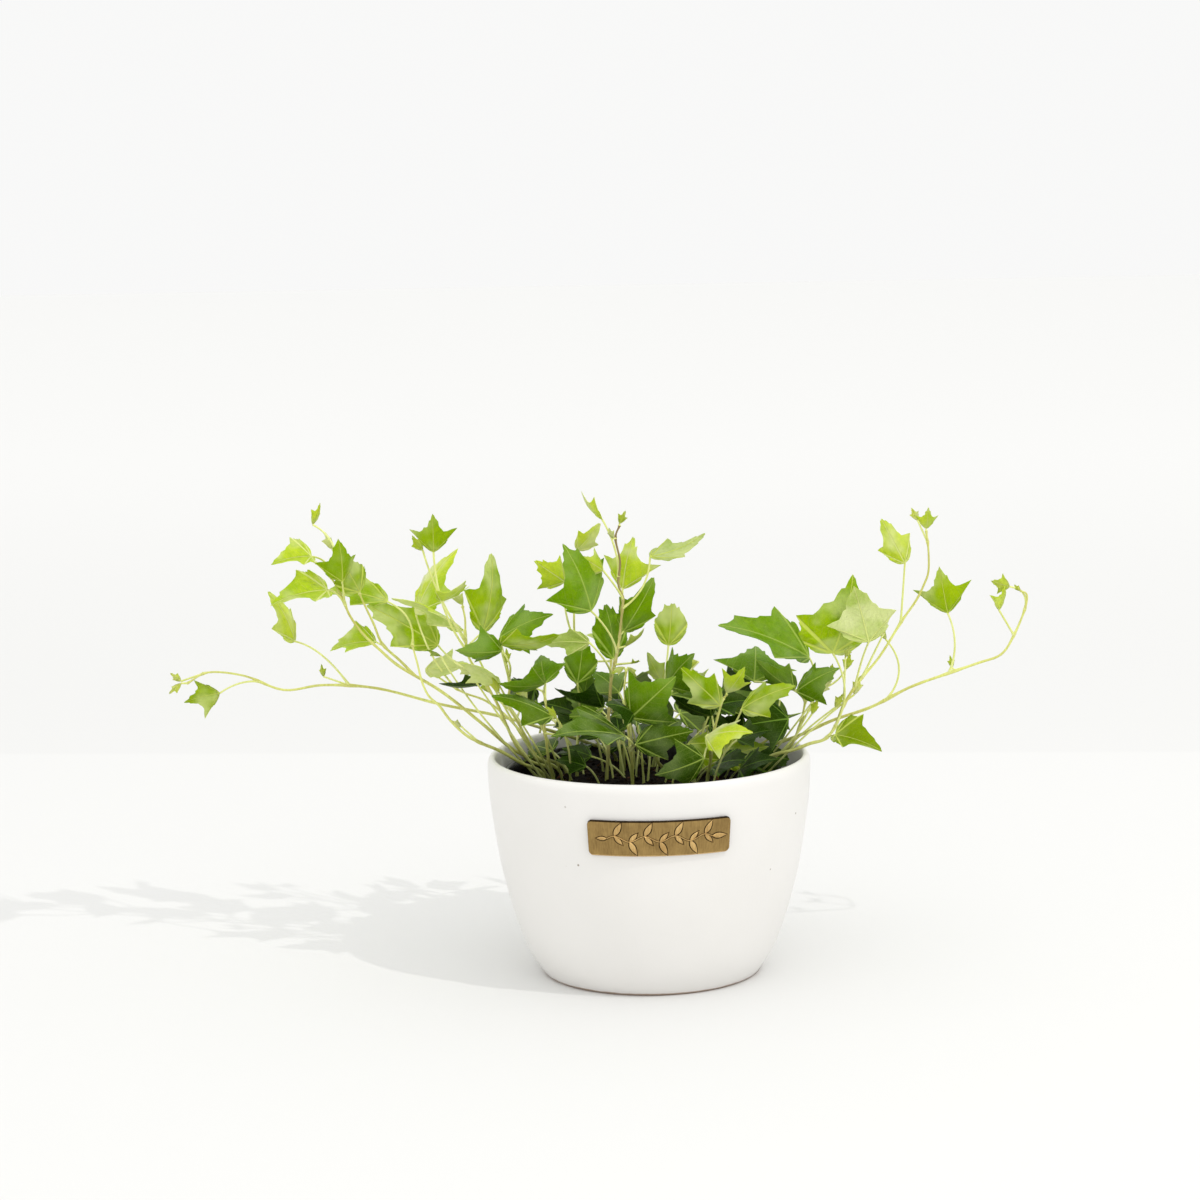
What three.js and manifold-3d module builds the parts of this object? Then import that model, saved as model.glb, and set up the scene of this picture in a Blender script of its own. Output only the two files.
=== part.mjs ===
// A potted ivy: a bowl-sided ceramic planter with a brass plate, a plastic nursery pot full of soil
// standing inside it, and a spray of leafy stems that rise and trail from the soil.
// Millimetres, +Z up. The origin is the centre of the planter's underside, and its plate faces -Y.

import * as THREE from "three";
import { mergeVertices } from "three/addons/utils/BufferGeometryUtils.js";
import Module from "manifold-3d";

const wasm = await Module();
wasm.setup();

const GAP = 0.3;

// Planter: [radius, height] up its outside, then a wall of even thickness.
const POT_OUTSIDE = [
  [49.5, 0], [51.5, 1.4], [58.4, 12], [64.5, 28.8], [69.7, 48.5], [73.1, 67.9], [75.3, 85.5], [76, 99],
  [75.7, 102.4], [74.5, 104],
];
const POT_WALL = 4;
const POT_FLOOR = 5;
const POT_SEGMENTS = 56;

// Nursery pot and soil.
const LINER = {
  x: -3, bottomRadius: 43, topRadius: 64.2, rimRadius: 65.4, rimHeight: 3, top: 97, wall: 1.2,
};
const LINER_SEGMENTS = 32;
const SOIL_LEVEL = 91;
const ROOTED_DEPTH = 12;

// Plate: an arc of the planter's side, in degrees from the front towards +X.
const PLATE = { middle: 2.5, width: 64.5, bottom: 71.4, top: 88, thickness: 1.5, corner: 2.2 };

// Stems and leaves.
const STEM_RADIUS = { root: 1.15, branch: 0.9, end: 0.6 };
const STALK_RADIUS = { start: 0.75, end: 0.55 };
const SHORT_STALK = 14;
const BLADE_HALF_THICKNESS = 0.4;
const BLADE_ARCH = 0.06;

// Points on the plant are read off a front view: x and z as seen from EYE against the upright plane
// through the planter's axis, and y for how far behind (+) or before (-) that plane the point lies.
const EYE = { x: -21.7, distance: 1500, z: 405 };

// Half outlines of a blade of length 1, from the stalk to the point: [distance from the midrib,
// distance along it, lift, and the place along the midrib that the point is joined to].
const OUTLINES = {
  wide: [
    [0.16, 0.03, 0, 0.12], [0.4, 0.2, 0.01, 0.27], [0.57, 0.47, -0.05, 0.42], [0.35, 0.55, 0.02, 0.58],
    [0.24, 0.74, -0.01, 0.78],
  ],
  heart: [
    [0.24, 0, 0, 0.12], [0.5, 0.16, 0.01, 0.27], [0.56, 0.36, -0.05, 0.42], [0.33, 0.5, 0.02, 0.58],
    [0.2, 0.74, -0.01, 0.78],
  ],
  star: [
    [0.13, 0.06, 0, 0.12], [0.42, 0.34, -0.03, 0.27], [0.62, 0.55, -0.07, 0.42], [0.27, 0.55, 0.03, 0.58],
    [0.17, 0.77, 0, 0.78],
  ],
  arrow: [
    [0.12, 0.04, 0, 0.12], [0.27, 0.24, 0.01, 0.27], [0.36, 0.46, -0.04, 0.42], [0.2, 0.56, 0.02, 0.58],
    [0.13, 0.76, 0, 0.78],
  ],
  round: [[0.26, 0.1, 0, 0.15], [0.43, 0.38, -0.02, 0.38], [0.41, 0.62, -0.02, 0.6], [0.25, 0.85, 0, 0.8]],
  bud: [[0.22, 0.24, 0.02, 0.3], [0.36, 0.56, -0.03, 0.5], [0.12, 0.64, 0, 0.72]],
};
const FOLD = { wide: 12, heart: 12, star: 14, arrow: 20, round: 10, bud: 32 };

// Each plant piece: [name, stems]. Each stem: [start, points, leaves]. The first stem starts at
// [x, y] on the soil, and the others at a place on the first, counted along its points.
// Each leaf: [place on the stem, foot, tip, roll, outline, fold, bow]. With roll 0 the upper face
// looks to the front; fold is how far each half hangs from flat; bow bends the stalk at its middle.
const VINES = [
  ["vine_far_left", [
    [[-16, 50],
      [[-28, 109, 46], [-48, 116, 42], [-71, 123, 38], [-98, 129, 34], [-127, 137, 30], [-152, 139, 27],
        [-171, 137, 25], [-189, 144, 22], [-206, 146, 20], [-216, 141, 19]],
      [
        [9, [-219, 141, 18], [-225, 136, 16], 20, "bud"],
        [8.2, [-219, 142, 24], [-224, 146, 26], 10, "bud"],
        [6.6, [-201, 136, 18], [-218, 132, 14], 30, "star", 12, [0, 2, 0]],
        [4.5, [-165, 160, 22], [-176, 184, 16], 62, "arrow", 14, [0, 4, 0]],
        [4.5, [-152, 143, 32], [-153, 149, 33], 0, "bud"],
      ]],
  ]],
  ["vine_left_top", [
    [[-47, 24],
      [[-63, 106, 16], [-79, 120, 12], [-97, 135, 10], [-116, 147, 8], [-125, 155, 7], [-133, 163, 6],
        [-139, 172, 5], [-142, 180, 4], [-146, 188, 4], [-150, 193, 3], [-154, 197, 2]],
      [
        [10, [-156, 198, 1], [-161, 200, -1], 0, "bud"],
        [8.4, [-156, 200, -6], [-175, 197, -14], 56, "heart", -26, [2, 2, 0]],
        [6.6, [-149, 184, -4], [-176, 178, -14], 59, "heart", -22, [0, 2, 0]],
        [6.7, [-142, 188, -8], [-143, 208, -12], 30, "wide", 30],
        [7.4, [-155, 215, 10], [-151, 225, 12], 45, "bud", 30, [4, 4, 2]],
        [7.5, [-146, 203, 14], [-150, 212, 16], 40, "bud", 30, [1, 0, 2]],
      ]],
    [2.6,
      [[-116, 150, 10], [-124, 158, 11], [-128, 168, 10], [-132, 177, 8], [-134, 182, 6]],
      [
        [4, [-134, 183, 4], [-142, 198, -4], 20, "round"],
        [0.9, [-127, 159, 14], [-149, 156, 20], 66, "wide", -22],
      ]],
  ]],
  ["vine_left_low", [
    [[-50, 6],
      [[-60, 100, 2], [-70, 106, -2], [-79, 110, -5], [-86, 114, -7], [-93, 121, -9], [-98, 128, -9],
        [-103, 133, -9], [-106, 140, -8], [-108, 149, -8], [-110, 157, -8]],
      [
        [9, [-121, 178, 20], [-151, 184, 26], 60, "arrow", -10, [4, 2, 0]],
        [2.1, [-88, 118, 2], [-93, 121, 6], 0, "bud"],
      ]],
  ]],
  ["vine_left_leafy", [
    [[-46, 14],
      [[-56, 101, 10], [-62, 108, 6], [-67, 119, 2], [-71, 129, -1], [-76, 138, -4], [-81, 146, -6],
        [-84, 152, -7], [-85, 160, -8], [-85, 169, -8], [-86, 175, -8]],
      [
        [9, [-86, 176, -9], [-90, 183, -11], 0, "bud", 20],
        [6.5, [-77, 163, 2], [-71, 200, 10], 42, "arrow", 14],
        [7.2, [-86, 164, -2], [-119, 180, 2], 114, "arrow", 16],
        [6.3, [-99, 201, -12], [-99, 219, -16], 5, "star", 14, [-3, -2, -4]],
        [6.8, [-104, 202, -10], [-109, 209, -6], -10, "bud", 10, [-2, 0, 0]],
        [7, [-96, 178, -20], [-84, 187, -32], 60, "wide", 12, [0, 0, -4]],
        [4.6, [-98, 157, 38], [-131, 177, 44], 25, "arrow", -10, [0, 0, -12]],
        [3.8, [-75, 139, 4], [-98, 138, 2], -56, "arrow", 24],
      ]],
  ]],
  ["vine_left_arch", [
    [[-40, 20],
      [[-53, 104, 18], [-58, 112, 16], [-66, 122, 17], [-76, 130, 19], [-86, 134, 23], [-93, 138, 27]],
      [
        [5, [-104, 146, 30], [-84, 148, 22], 112, "wide", 8],
        [4.5, [-108, 172, 26], [-88, 203, 31], -64, "wide", 12, [-2, -2, 0]],
      ]],
  ]],
  ["vine_left_inner", [
    [[-42, 12],
      [[-53, 103, 6], [-57, 111, 0], [-62, 121, -8], [-66, 129, -14], [-65, 135, -17], [-65, 142, -19],
        [-66, 147, -20]],
      [
        [6, [-66, 148, -20], [-66, 155, -22], 20, "bud", 20],
        [3.2, [-70, 138, -23], [-88, 149, -30], 124, "wide", 14],
        [5, [-68, 154, -30], [-90, 154, -36], -25, "wide", 34, [2, 0, -4]],
        [5, [-69, 160, -12], [-44, 171, -20], -50, "wide", 12],
        [4.6, [-69, 157, -28], [-41, 160, -40], 50, "arrow", 10],
        [2, [-60, 126, -2], [-66, 134, 2], 10, "bud"],
        [2.4, [-74, 134, 12], [-79, 141, 14], 30, "bud"],
      ]],
  ]],
  ["vine_left_front", [
    [[-45, -6],
      [[-47, 100, -10], [-48, 109, -15], [-49, 119, -19], [-48, 127, -22], [-49, 134, -24]],
      [
        [2.2, [-45, 122, -32], [-73, 133, -40], 60, "arrow", 24],
        [4, [-53, 136, -18], [-65, 133, -4], -20, "round", 16],
        [4, [-48, 138, -34], [-70, 138, -44], -50, "wide", 12],
        [3.4, [-48, 138, -16], [-50, 152, 2], -8, "wide", 10],
        [1.5, [-40, 113, -26], [-42, 120, -27], 0, "bud"],
      ]],
  ]],
  ["vine_centre_left", [
    [[-34, 10],
      [[-34, 103, 12], [-33, 113, 15], [-31, 125, 17], [-32, 137, 18], [-33, 151, 19], [-34, 162, 19],
        [-34, 174, 19], [-35, 185, 19], [-33, 196, 18]],
      [
        [8, [-32, 201, 17], [-21, 213, 12], 10, "arrow", 10],
        [4.6, [-38, 186, 12], [-52, 196, 6], 10, "wide", 16, [-2, 0, 0]],
        [2, [-33, 138, -4], [-30, 157, -5], 10, "round", 8, [0, -4, 0]],
        [2.4, [-30, 133, 8], [-28, 143, 4], 20, "round", 14],
        [1.6, [-21, 126, 2], [-44, 135, -4], -60, "wide", 24],
        [1.1, [-20, 122, 4], [-44, 124, 2], -78, "arrow", 10],
      ]],
  ]],
  ["vine_centre_tall", [
    [[-20, -2],
      [[-19, 105, -2], [-19, 117, -3], [-18, 129, -4], [-17, 140, -5], [-15, 148, -6], [-13, 158, -7],
        [-12, 167, -7], [-11, 177, -7], [-13, 185, -8], [-12, 195, -8], [-14, 206, -8], [-12, 212, -8]],
      [
        [11, [-12, 213, -8], [-9, 219, -10], 0, "bud", 10],
        [8.3, [-20, 215, -2], [-30, 228, 2], -72, "star", 12, [2, 0, 0]],
        [10, [-15, 206, -12], [-17, 211, -14], 0, "bud"],
        [4.4, [-26, 172, -16], [-38, 204, -24], 42, "wide", 9, [2, 0, 0]],
        [7, [-20, 191, -12], [-31, 198, -18], 20, "star", 20, [2, -2, 0]],
        [7.2, [-11, 182, 0], [-6, 207, 4], -24, "star", 18],
        [6.6, [2, 197, -6], [28, 207, 2], 116, "arrow", 4, [3, -2, 0]],
        [5.2, [-11, 162, -2], [4, 187, -4], 12, "arrow", 10],
        [4, [-16, 149, 4], [-19, 175, 10], 38, "round", 6],
        [3.1, [-27, 157, -20], [-48, 157, -24], 160, "arrow", 5, [2, 0, -4]],
        [4.6, [-10, 155, -10], [-1, 163, -14], 60, "bud", 20],
        [3.8, [-7, 147, -12], [-4, 148, -18], 40, "bud"],
      ]],
  ]],
  ["vine_centre_front", [
    [[-8, -14],
      [[-8, 100, -18], [-9, 110, -24], [-10, 122, -28], [-11, 134, -27], [-10, 143, -26]],
      [
        [4, [-11, 145, -26], [-17, 142, -30], 20, "bud"],
        [4, [-9, 145, -26], [-5, 140, -24], 0, "bud"],
        [1.8, [-8, 121, -36], [13, 140, -44], -8, "wide", 12, [0, -3, -2]],
        [2.2, [-7, 123, -36], [-20, 128, -48], 70, "wide", 18],
        [0.7, [-11, 112, -42], [-46, 113, -56], 76, "wide", -12, [2, 0, -4]],
        [0.5, [-6, 108, -34], [21, 114, -45], -20, "arrow", 18],
      ]],
  ]],
  ["vine_centre_right", [
    [[8, 6],
      [[4, 100, 2], [3, 110, 0], [4, 121, -1], [7, 129, -1], [8, 136, -1]],
      [
        [4, [9, 136, -2], [22, 151, -14], -40, "wide", 16],
        [3.6, [10, 155, 6], [12, 175, 10], 6, "round", 6],
        [4, [7, 138, 4], [0, 152, 8], -20, "arrow", 16],
        [3, [24, 147, 18], [14, 146, 12], 40, "bud"],
      ]],
  ]],
  ["vine_right_front", [
    [[27, -14],
      [[29, 99, -18], [30, 109, -22], [32, 118, -26], [35, 128, -28], [37, 131, -28]],
      [
        [4, [37, 132, -28], [46, 144, -32], 20, "star", 22],
        [3.2, [34, 126, -34], [16, 144, -42], 10, "arrow", 16],
        [0.6, [44, 124, -36], [69, 135, -46], -50, "arrow", 14, [2, 0, 0]],
        [1, [27, 111, -44], [49, 113, -58], -64, "wide", 14, [0, 2, 0]],
        [0.4, [26, 101, -50], [3, 93, -60], -12, "wide", 14, [0, 4, 0]],
        [1.6, [30, 121, -12], [11, 131, -20], -50, "wide", 16],
      ]],
  ]],
  ["vine_right_dark", [
    [[44, 6],
      [[47, 101, 4], [53, 107, 0], [60, 112, -4], [65, 117, -6]],
      [
        [3, [66, 119, -8], [44, 116, -16], 22, "wide", 8],
        [2, [62, 128, 4], [52, 110, -4], 170, "wide", 12],
        [0.8, [46, 108, 14], [26, 122, 16], -10, "wide", 12],
      ]],
  ]],
  ["vine_right_mid", [
    [[50, 12],
      [[58, 100, 10], [66, 105, 6], [69, 110, 5], [72, 118, 6], [74, 127, 8], [76, 135, 9]],
      [
        [5, [76, 148, 10], [34, 165, -2], 55, "arrow", -18, [2, 0, 0]],
        [4, [50, 137, 14], [51, 155, 44], -4, "star", 10, [4, 2, 0]],
        [4.4, [70, 132, -8], [90, 143, -16], -48, "wide", 20, [2, 2, -2]],
        [4, [69, 133, -4], [51, 147, -10], -30, "arrow", 24, [3, 0, 0]],
        [2.6, [78, 131, 2], [87, 138, 0], 20, "bud", 10, [1, 0, 0]],
        [3, [77, 124, 4], [80, 128, 2], 0, "bud"],
        [4.6, [93, 142, 2], [95, 150, 0], 20, "bud", 10, [2, -2, 0]],
      ]],
  ]],
  ["vine_far_right", [
    [[44, 24],
      [[54, 105, 20], [71, 111, 18], [87, 118, 14], [105, 124, 10], [123, 133, 7], [140, 139, 5],
        [155, 144, 3], [166, 148, 2], [172, 157, 1], [177, 169, 0], [178, 176, 0], [175, 178, 0]],
      [
        [5.1, [141, 168, -2], [137, 190, -6], -6, "star", 14, [3, 0, 0]],
        [8, [165, 169, -2], [168, 181, -4], 50, "star", 25],
        [9, [170, 180, 2], [161, 183, 6], 0, "star", 24, [3, 2, 0]],
        [5.3, [143, 142, 6], [142, 148, 8], 0, "bud"],
        [11, [175, 178, 0], [172, 181, 2], 0, "bud"],
        [3.4, [112, 156, 10], [109, 162, 12], 20, "bud", 30, [6, 0, 0]],
      ]],
  ]],
  ["vine_right_top", [
    [[46, -4],
      [[57, 101, -8], [68, 104, -10], [76, 107, -11], [83, 109, -11], [88, 115, -10], [92, 125, -8],
        [99, 136, -6], [109, 148, -5], [119, 164, -4], [126, 174, -4], [130, 182, -4], [132, 188, -4],
        [132, 198, -4], [131, 207, -4]],
      [
        [13, [131, 208, -4], [132, 218, -6], 10, "star", 24],
        [12.4, [127, 212, 2], [124, 218, 4], 0, "bud", 10],
        [8, [121, 192, -2], [110, 213, -4], 0, "arrow", 16],
        [4, [87, 150, -16], [97, 187, -20], 26, "heart", 14, [5, 0, 0]],
        [5.8, [104, 155, -22], [97, 182, -30], 172, "wide", 12, [0, 2, 0]],
        [6.2, [111, 159, -14], [107, 165, -20], 60, "bud", 10],
        [3.2, [88, 111, -18], [110, 103, -28], -50, "heart", -30],
        [5, [93, 148, -14], [95, 153, -16], 0, "bud", 10],
      ]],
  ]],
  ["vine_back_left", [
    [[-34, 42],
      [[-39, 112, 52], [-43, 119, 59], [-47, 121, 68], [-50, 118, 76], [-52, 110, 83], [-54, 98, 86],
        [-55, 84, 86]],
      [
        [6, [-55, 82, 88], [-54, 64, 94], 165, "wide"],
        [5, [-46, 98, 96], [-33, 86, 106], 170, "wide"],
        [4, [-60, 108, 94], [-62, 93, 106], -160, "wide"],
        [3, [-42, 118, 88], [-28, 116, 102], 150, "wide"],
        [1, [-52, 128, 70], [-56, 132, 88], 175, "wide"],
      ]],
  ]],
  ["vine_back_middle", [
    [[4, 44],
      [[5, 112, 56], [7, 119, 65], [8, 123, 74], [8, 121, 82], [7, 114, 89], [4, 102, 92], [3, 90, 93],
        [3, 76, 92]],
      [
        [7, [3, 74, 93], [5, 54, 100], 175, "wide"],
        [6, [11, 90, 102], [24, 78, 112], 170, "wide"],
        [5, [-4, 104, 102], [-17, 92, 112], -170, "wide"],
        [4, [17, 116, 98], [33, 106, 108], 165, "star"],
        [2, [-2, 126, 84], [-12, 124, 102], -160, "wide"],
      ]],
  ]],
  ["vine_back_right", [
    [[34, 36],
      [[38, 110, 47], [43, 118, 54], [46, 121, 61], [50, 119, 68], [52, 112, 75], [54, 100, 79],
        [55, 87, 80]],
      [
        [6, [55, 85, 82], [54, 66, 88], 170, "wide"],
        [5, [62, 98, 88], [66, 82, 98], 178, "wide"],
        [4, [44, 106, 88], [34, 92, 98], -165, "wide"],
        [3, [60, 118, 80], [64, 112, 98], 160, "star"],
        [1, [36, 126, 66], [26, 128, 84], -170, "wide"],
      ]],
  ]],
  ["vine_back_upright", [
    [[-12, 32],
      [[-13, 108, 36], [-16, 122, 40], [-18, 136, 44], [-17, 148, 48], [-18, 156, 50]],
      [
        [4, [-18, 157, 52], [-22, 170, 64], 175, "wide"],
        [3, [-27, 148, 60], [-33, 150, 78], 165, "wide"],
        [2, [-8, 138, 58], [3, 136, 72], -170, "wide"],
        [1, [-26, 132, 56], [-38, 132, 70], 170, "wide"],
      ]],
  ]],
  ["vine_back_low", [
    [[24, 20],
      [[25, 106, 28], [26, 118, 36], [24, 128, 42], [22, 134, 46]],
      [
        [3, [22, 136, 48], [20, 144, 64], 178, "wide"],
        [2, [33, 130, 52], [43, 130, 68], 165, "wide"],
        [1, [12, 124, 48], [3, 124, 62], -170, "wide"],
      ]],
  ]],
];

/** The real place of a point that is read off the front view. */
function seen([x, z, y]) {
  const reach = 1 + y / EYE.distance;
  return new THREE.Vector3(EYE.x + (x - EYE.x) * reach, y, EYE.z + (z - EYE.z) * reach);
}

/** A closed three.js geometry as a solid that can be joined and cut. */
function toSolid(geometry) {
  geometry.deleteAttribute("normal");
  geometry.deleteAttribute("uv");
  const merged = mergeVertices(geometry, 1e-4);
  const { array } = merged.getAttribute("position");
  const index = merged.getIndex().array;
  const corners = [];
  for (let i = 0; i < index.length; i += 3) {
    const [a, b, c] = [index[i], index[i + 1], index[i + 2]];
    if (a !== b && b !== c && c !== a) corners.push(a, b, c);
  }
  const mesh = { numProp: 3, vertProperties: new Float32Array(array), triVerts: new Uint32Array(corners) };
  return new wasm.Manifold(new wasm.Mesh(mesh));
}

/** A solid as a three.js geometry. */
function toGeometry(solid) {
  const mesh = solid.getMesh();
  const geometry = new THREE.BufferGeometry();
  geometry.setAttribute("position", new THREE.BufferAttribute(new Float32Array(mesh.vertProperties), 3));
  geometry.setIndex(new THREE.BufferAttribute(new Uint32Array(mesh.triVerts), 1));
  return geometry;
}

/** A geometry from a list of points and a list of triangles. */
function fromTriangles(points, triangles) {
  const geometry = new THREE.BufferGeometry();
  const coordinates = points.flatMap((point) => point.toArray());
  geometry.setAttribute("position", new THREE.Float32BufferAttribute(coordinates, 3));
  geometry.setIndex(triangles.flat());
  return geometry;
}

/** A profile of [radius, height] turned about the Z axis. */
function turned(profile, segments) {
  const points = profile.map(([radius, height]) => new THREE.Vector2(radius, height));
  return new THREE.LatheGeometry(points, segments).rotateX(Math.PI / 2);
}

/** Rings of points square to a line of points, the first turned so that it starts at a given side. */
function ringsAlong(points, radii, sides, startSide) {
  const side = startSide.clone();
  return points.map((point, i) => {
    const before = points[Math.max(i - 1, 0)];
    const after = points[Math.min(i + 1, points.length - 1)];
    const tangent = after.clone().sub(before).normalize();
    side.projectOnPlane(tangent).normalize();
    return Array.from({ length: sides }, (_, j) => (
      point.clone().addScaledVector(side.clone().applyAxisAngle(tangent, (2 * Math.PI * j) / sides), radii[i])
    ));
  });
}

/** The triangles between rings whose points are numbered in order. */
function ringTriangles(ringCount, sides) {
  const triangles = [];
  for (let i = 0; i < ringCount - 1; i += 1) {
    for (let j = 0; j < sides; j += 1) {
      const [a, b] = [i * sides + j, i * sides + ((j + 1) % sides)];
      triangles.push([a, b, b + sides], [a, b + sides, a + sides]);
    }
  }
  return triangles;
}

/** A closed stem that tapers along a line of points. */
function stemSolid(points, startRadius, endRadius, sides = 4) {
  const radii = points.map((_, i) => (
    THREE.MathUtils.lerp(startRadius, endRadius, i / (points.length - 1))));
  const triangles = ringTriangles(points.length, sides);
  const last = (points.length - 1) * sides;
  for (let j = 1; j < sides - 1; j += 1) {
    triangles.push([0, j + 1, j], [last, last + j, last + j + 1]);
  }
  const rings = ringsAlong(points, radii, sides, new THREE.Vector3(1, 0.3, 0.2));
  return toSolid(fromTriangles(rings.flat(), triangles));
}

/** The points of a blade's middle surface, and its outline as numbers of those points. */
function bladeSurface(foot, tip, facing, across, outline, fold) {
  const length = foot.distanceTo(tip);
  const along = tip.clone().sub(foot).normalize();
  const hang = THREE.MathUtils.degToRad(fold);
  const place = (side, distance, lift) => {
    const arch = BLADE_ARCH * 4 * distance * (1 - distance);
    return foot.clone()
      .addScaledVector(across, side * Math.cos(hang) * length)
      .addScaledVector(along, distance * length)
      .addScaledVector(facing, (lift + arch - Math.abs(side) * Math.sin(hang)) * length);
  };
  const half = OUTLINES[outline];
  const rib = [0, ...half.map(([, , , distance]) => distance), 1].map((distance) => place(0, distance, 0));
  const right = half.map(([side, distance, lift]) => place(side, distance, lift));
  const left = half.map(([side, distance, lift]) => place(-side, distance, lift));
  const count = half.length;
  const [rightStart, leftStart] = [count + 2, 2 * count + 2];
  const triangles = [];
  const add = (a, b, c) => {
    triangles.push([a, b, c]);
    const mirror = (i) => (i >= rightStart ? i + count : i);
    triangles.push([mirror(a), mirror(c), mirror(b)]);
  };
  add(0, rightStart, 1);
  for (let j = 0; j < count - 1; j += 1) {
    add(j + 1, rightStart + j, rightStart + j + 1);
    add(j + 1, rightStart + j + 1, j + 2);
  }
  add(count, rightStart + count - 1, count + 1);
  const rightEdge = half.map((_, j) => rightStart + j);
  const leftEdge = half.map((_, j) => leftStart + j);
  const edge = [...rightEdge, count + 1, ...leftEdge.reverse()];
  return { points: [...rib, ...right, ...left], triangles, edge, right: rightStart, left: leftStart };
}

/** One leaf as a closed solid: a three-sided stalk that opens out into a blade of even thickness. */
function leafSolid(start, [, footSeen, tipSeen, roll, outline, fold = FOLD[outline], bow = [0, 0, 0]]) {
  const foot = seen(footSeen);
  const tip = seen(tipSeen);
  const along = tip.clone().sub(foot).normalize();
  const facing = new THREE.Vector3(0, -1, 0).projectOnPlane(along).normalize();
  facing.applyAxisAngle(along, THREE.MathUtils.degToRad(roll));
  const across = along.clone().cross(facing);
  const surface = bladeSurface(foot, tip, facing, across, outline, fold);

  const middle = start.clone().lerp(foot, 0.5).add(new THREE.Vector3(2 * bow[0], 2 * bow[2], 2 * bow[1]));
  const line = new THREE.QuadraticBezierCurve3(start, middle, foot);
  const steps = line.getLength() > SHORT_STALK ? 3 : 2;
  const stalk = line.getPoints(steps);
  const radii = stalk.map((_, i) => THREE.MathUtils.lerp(STALK_RADIUS.end, STALK_RADIUS.start, i / steps));
  const rings = ringsAlong([...stalk].reverse(), radii, 3, facing).reverse();
  const ringPoints = rings.flatMap(([up, first, second]) => [up, second, first]);

  const normals = surface.points.map(() => new THREE.Vector3());
  surface.triangles.forEach(([a, b, c]) => {
    const [p, q, r] = [surface.points[a], surface.points[b], surface.points[c]];
    const normal = q.clone().sub(p).cross(r.clone().sub(p));
    [a, b, c].forEach((corner) => normals[corner].add(normal));
  });
  normals.forEach((normal) => normal.normalize().multiplyScalar(BLADE_HALF_THICKNESS));
  const upperFace = surface.points.map((point, i) => point.clone().add(normals[i]));
  const lowerFace = surface.points.map((point, i) => point.clone().sub(normals[i]));

  const upper = (i) => ringPoints.length + i;
  const lower = (i) => ringPoints.length + surface.points.length + i;
  const [up, right, left] = [3, 2, 1].map((k) => ringPoints.length - k);
  const triangles = [[0, 2, 1], ...ringTriangles(steps + 1, 3)];
  surface.triangles.filter(([a]) => a !== 0).forEach(([a, b, c]) => {
    triangles.push([upper(a), upper(b), upper(c)], [lower(a), lower(c), lower(b)]);
  });
  const { right: r, left: l } = surface;
  triangles.push(
    [up, right, upper(r)], [up, upper(r), upper(1)], [up, upper(1), upper(l)], [up, upper(l), left],
    [right, left, lower(1)], [right, lower(1), lower(r)], [left, lower(l), lower(1)],
    [upper(r), right, lower(r)], [left, upper(l), lower(l)],
  );
  surface.edge.slice(1).forEach((b, i) => {
    const a = surface.edge[i];
    triangles.push([upper(b), upper(a), lower(a)], [upper(b), lower(a), lower(b)]);
  });
  return toSolid(fromTriangles([...ringPoints, ...upperFace, ...lowerFace], triangles));
}

/** The point at a place counted along a line of points, such as 2.5 halfway from [2] to [3]. */
function pointAt(points, place) {
  const i = Math.min(Math.floor(place), points.length - 2);
  return points[i].clone().lerp(points[i + 1], place - i);
}

/** The rooted foot of a main stem, straight up out of the soil. */
function rootPoints([x, y]) {
  return [SOIL_LEVEL - ROOTED_DEPTH, SOIL_LEVEL + 2].map((z) => new THREE.Vector3(x, y, z));
}

/** A leafy stem, with its branches, as one solid. */
function vineSolid(stems) {
  const mainPath = stems[0][1].map(seen);
  const solids = stems.flatMap(([start, path, leaves], order) => {
    const isBranch = order > 0;
    const points = path.map(seen);
    const foot = isBranch ? [pointAt(mainPath, start)] : rootPoints(start);
    const thick = isBranch ? STEM_RADIUS.branch : STEM_RADIUS.root;
    return [
      stemSolid([...foot, ...points], thick, STEM_RADIUS.end),
      ...leaves.map((leaf) => leafSolid(pointAt(points, leaf[0]), leaf)),
    ];
  });
  return solids.reduce((whole, solid) => whole.add(solid));
}

/** The planter: its wall follows its outside at an even distance. */
function potGeometry() {
  const [shoulder, waist, low] = [7, 4, 2].map((i) => [POT_OUTSIDE[i][0] - POT_WALL, POT_OUTSIDE[i][1]]);
  const rimTop = POT_OUTSIDE.at(-1)[1];
  const profile = [
    [0, 0], ...POT_OUTSIDE, [shoulder[0] + 1.2, rimTop], [shoulder[0] + 0.2, rimTop - 1.4],
    shoulder, waist, low, [48, POT_FLOOR], [0, POT_FLOOR],
  ];
  return toGeometry(toSolid(turned(profile, POT_SEGMENTS)));
}

/** The thin nursery pot, with a rim turned out at its top. */
function linerGeometry() {
  const { bottomRadius, topRadius, rimRadius, rimHeight, top, wall } = LINER;
  const floor = POT_FLOOR + GAP;
  const profile = [
    [0, floor], [bottomRadius, floor], [topRadius, top - rimHeight], [rimRadius, top - rimHeight],
    [rimRadius, top], [topRadius - wall, top], [bottomRadius - wall, floor + wall], [0, floor + wall],
  ];
  return toGeometry(toSolid(turned(profile, LINER_SEGMENTS).translate(LINER.x, 0, 0)));
}

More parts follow.
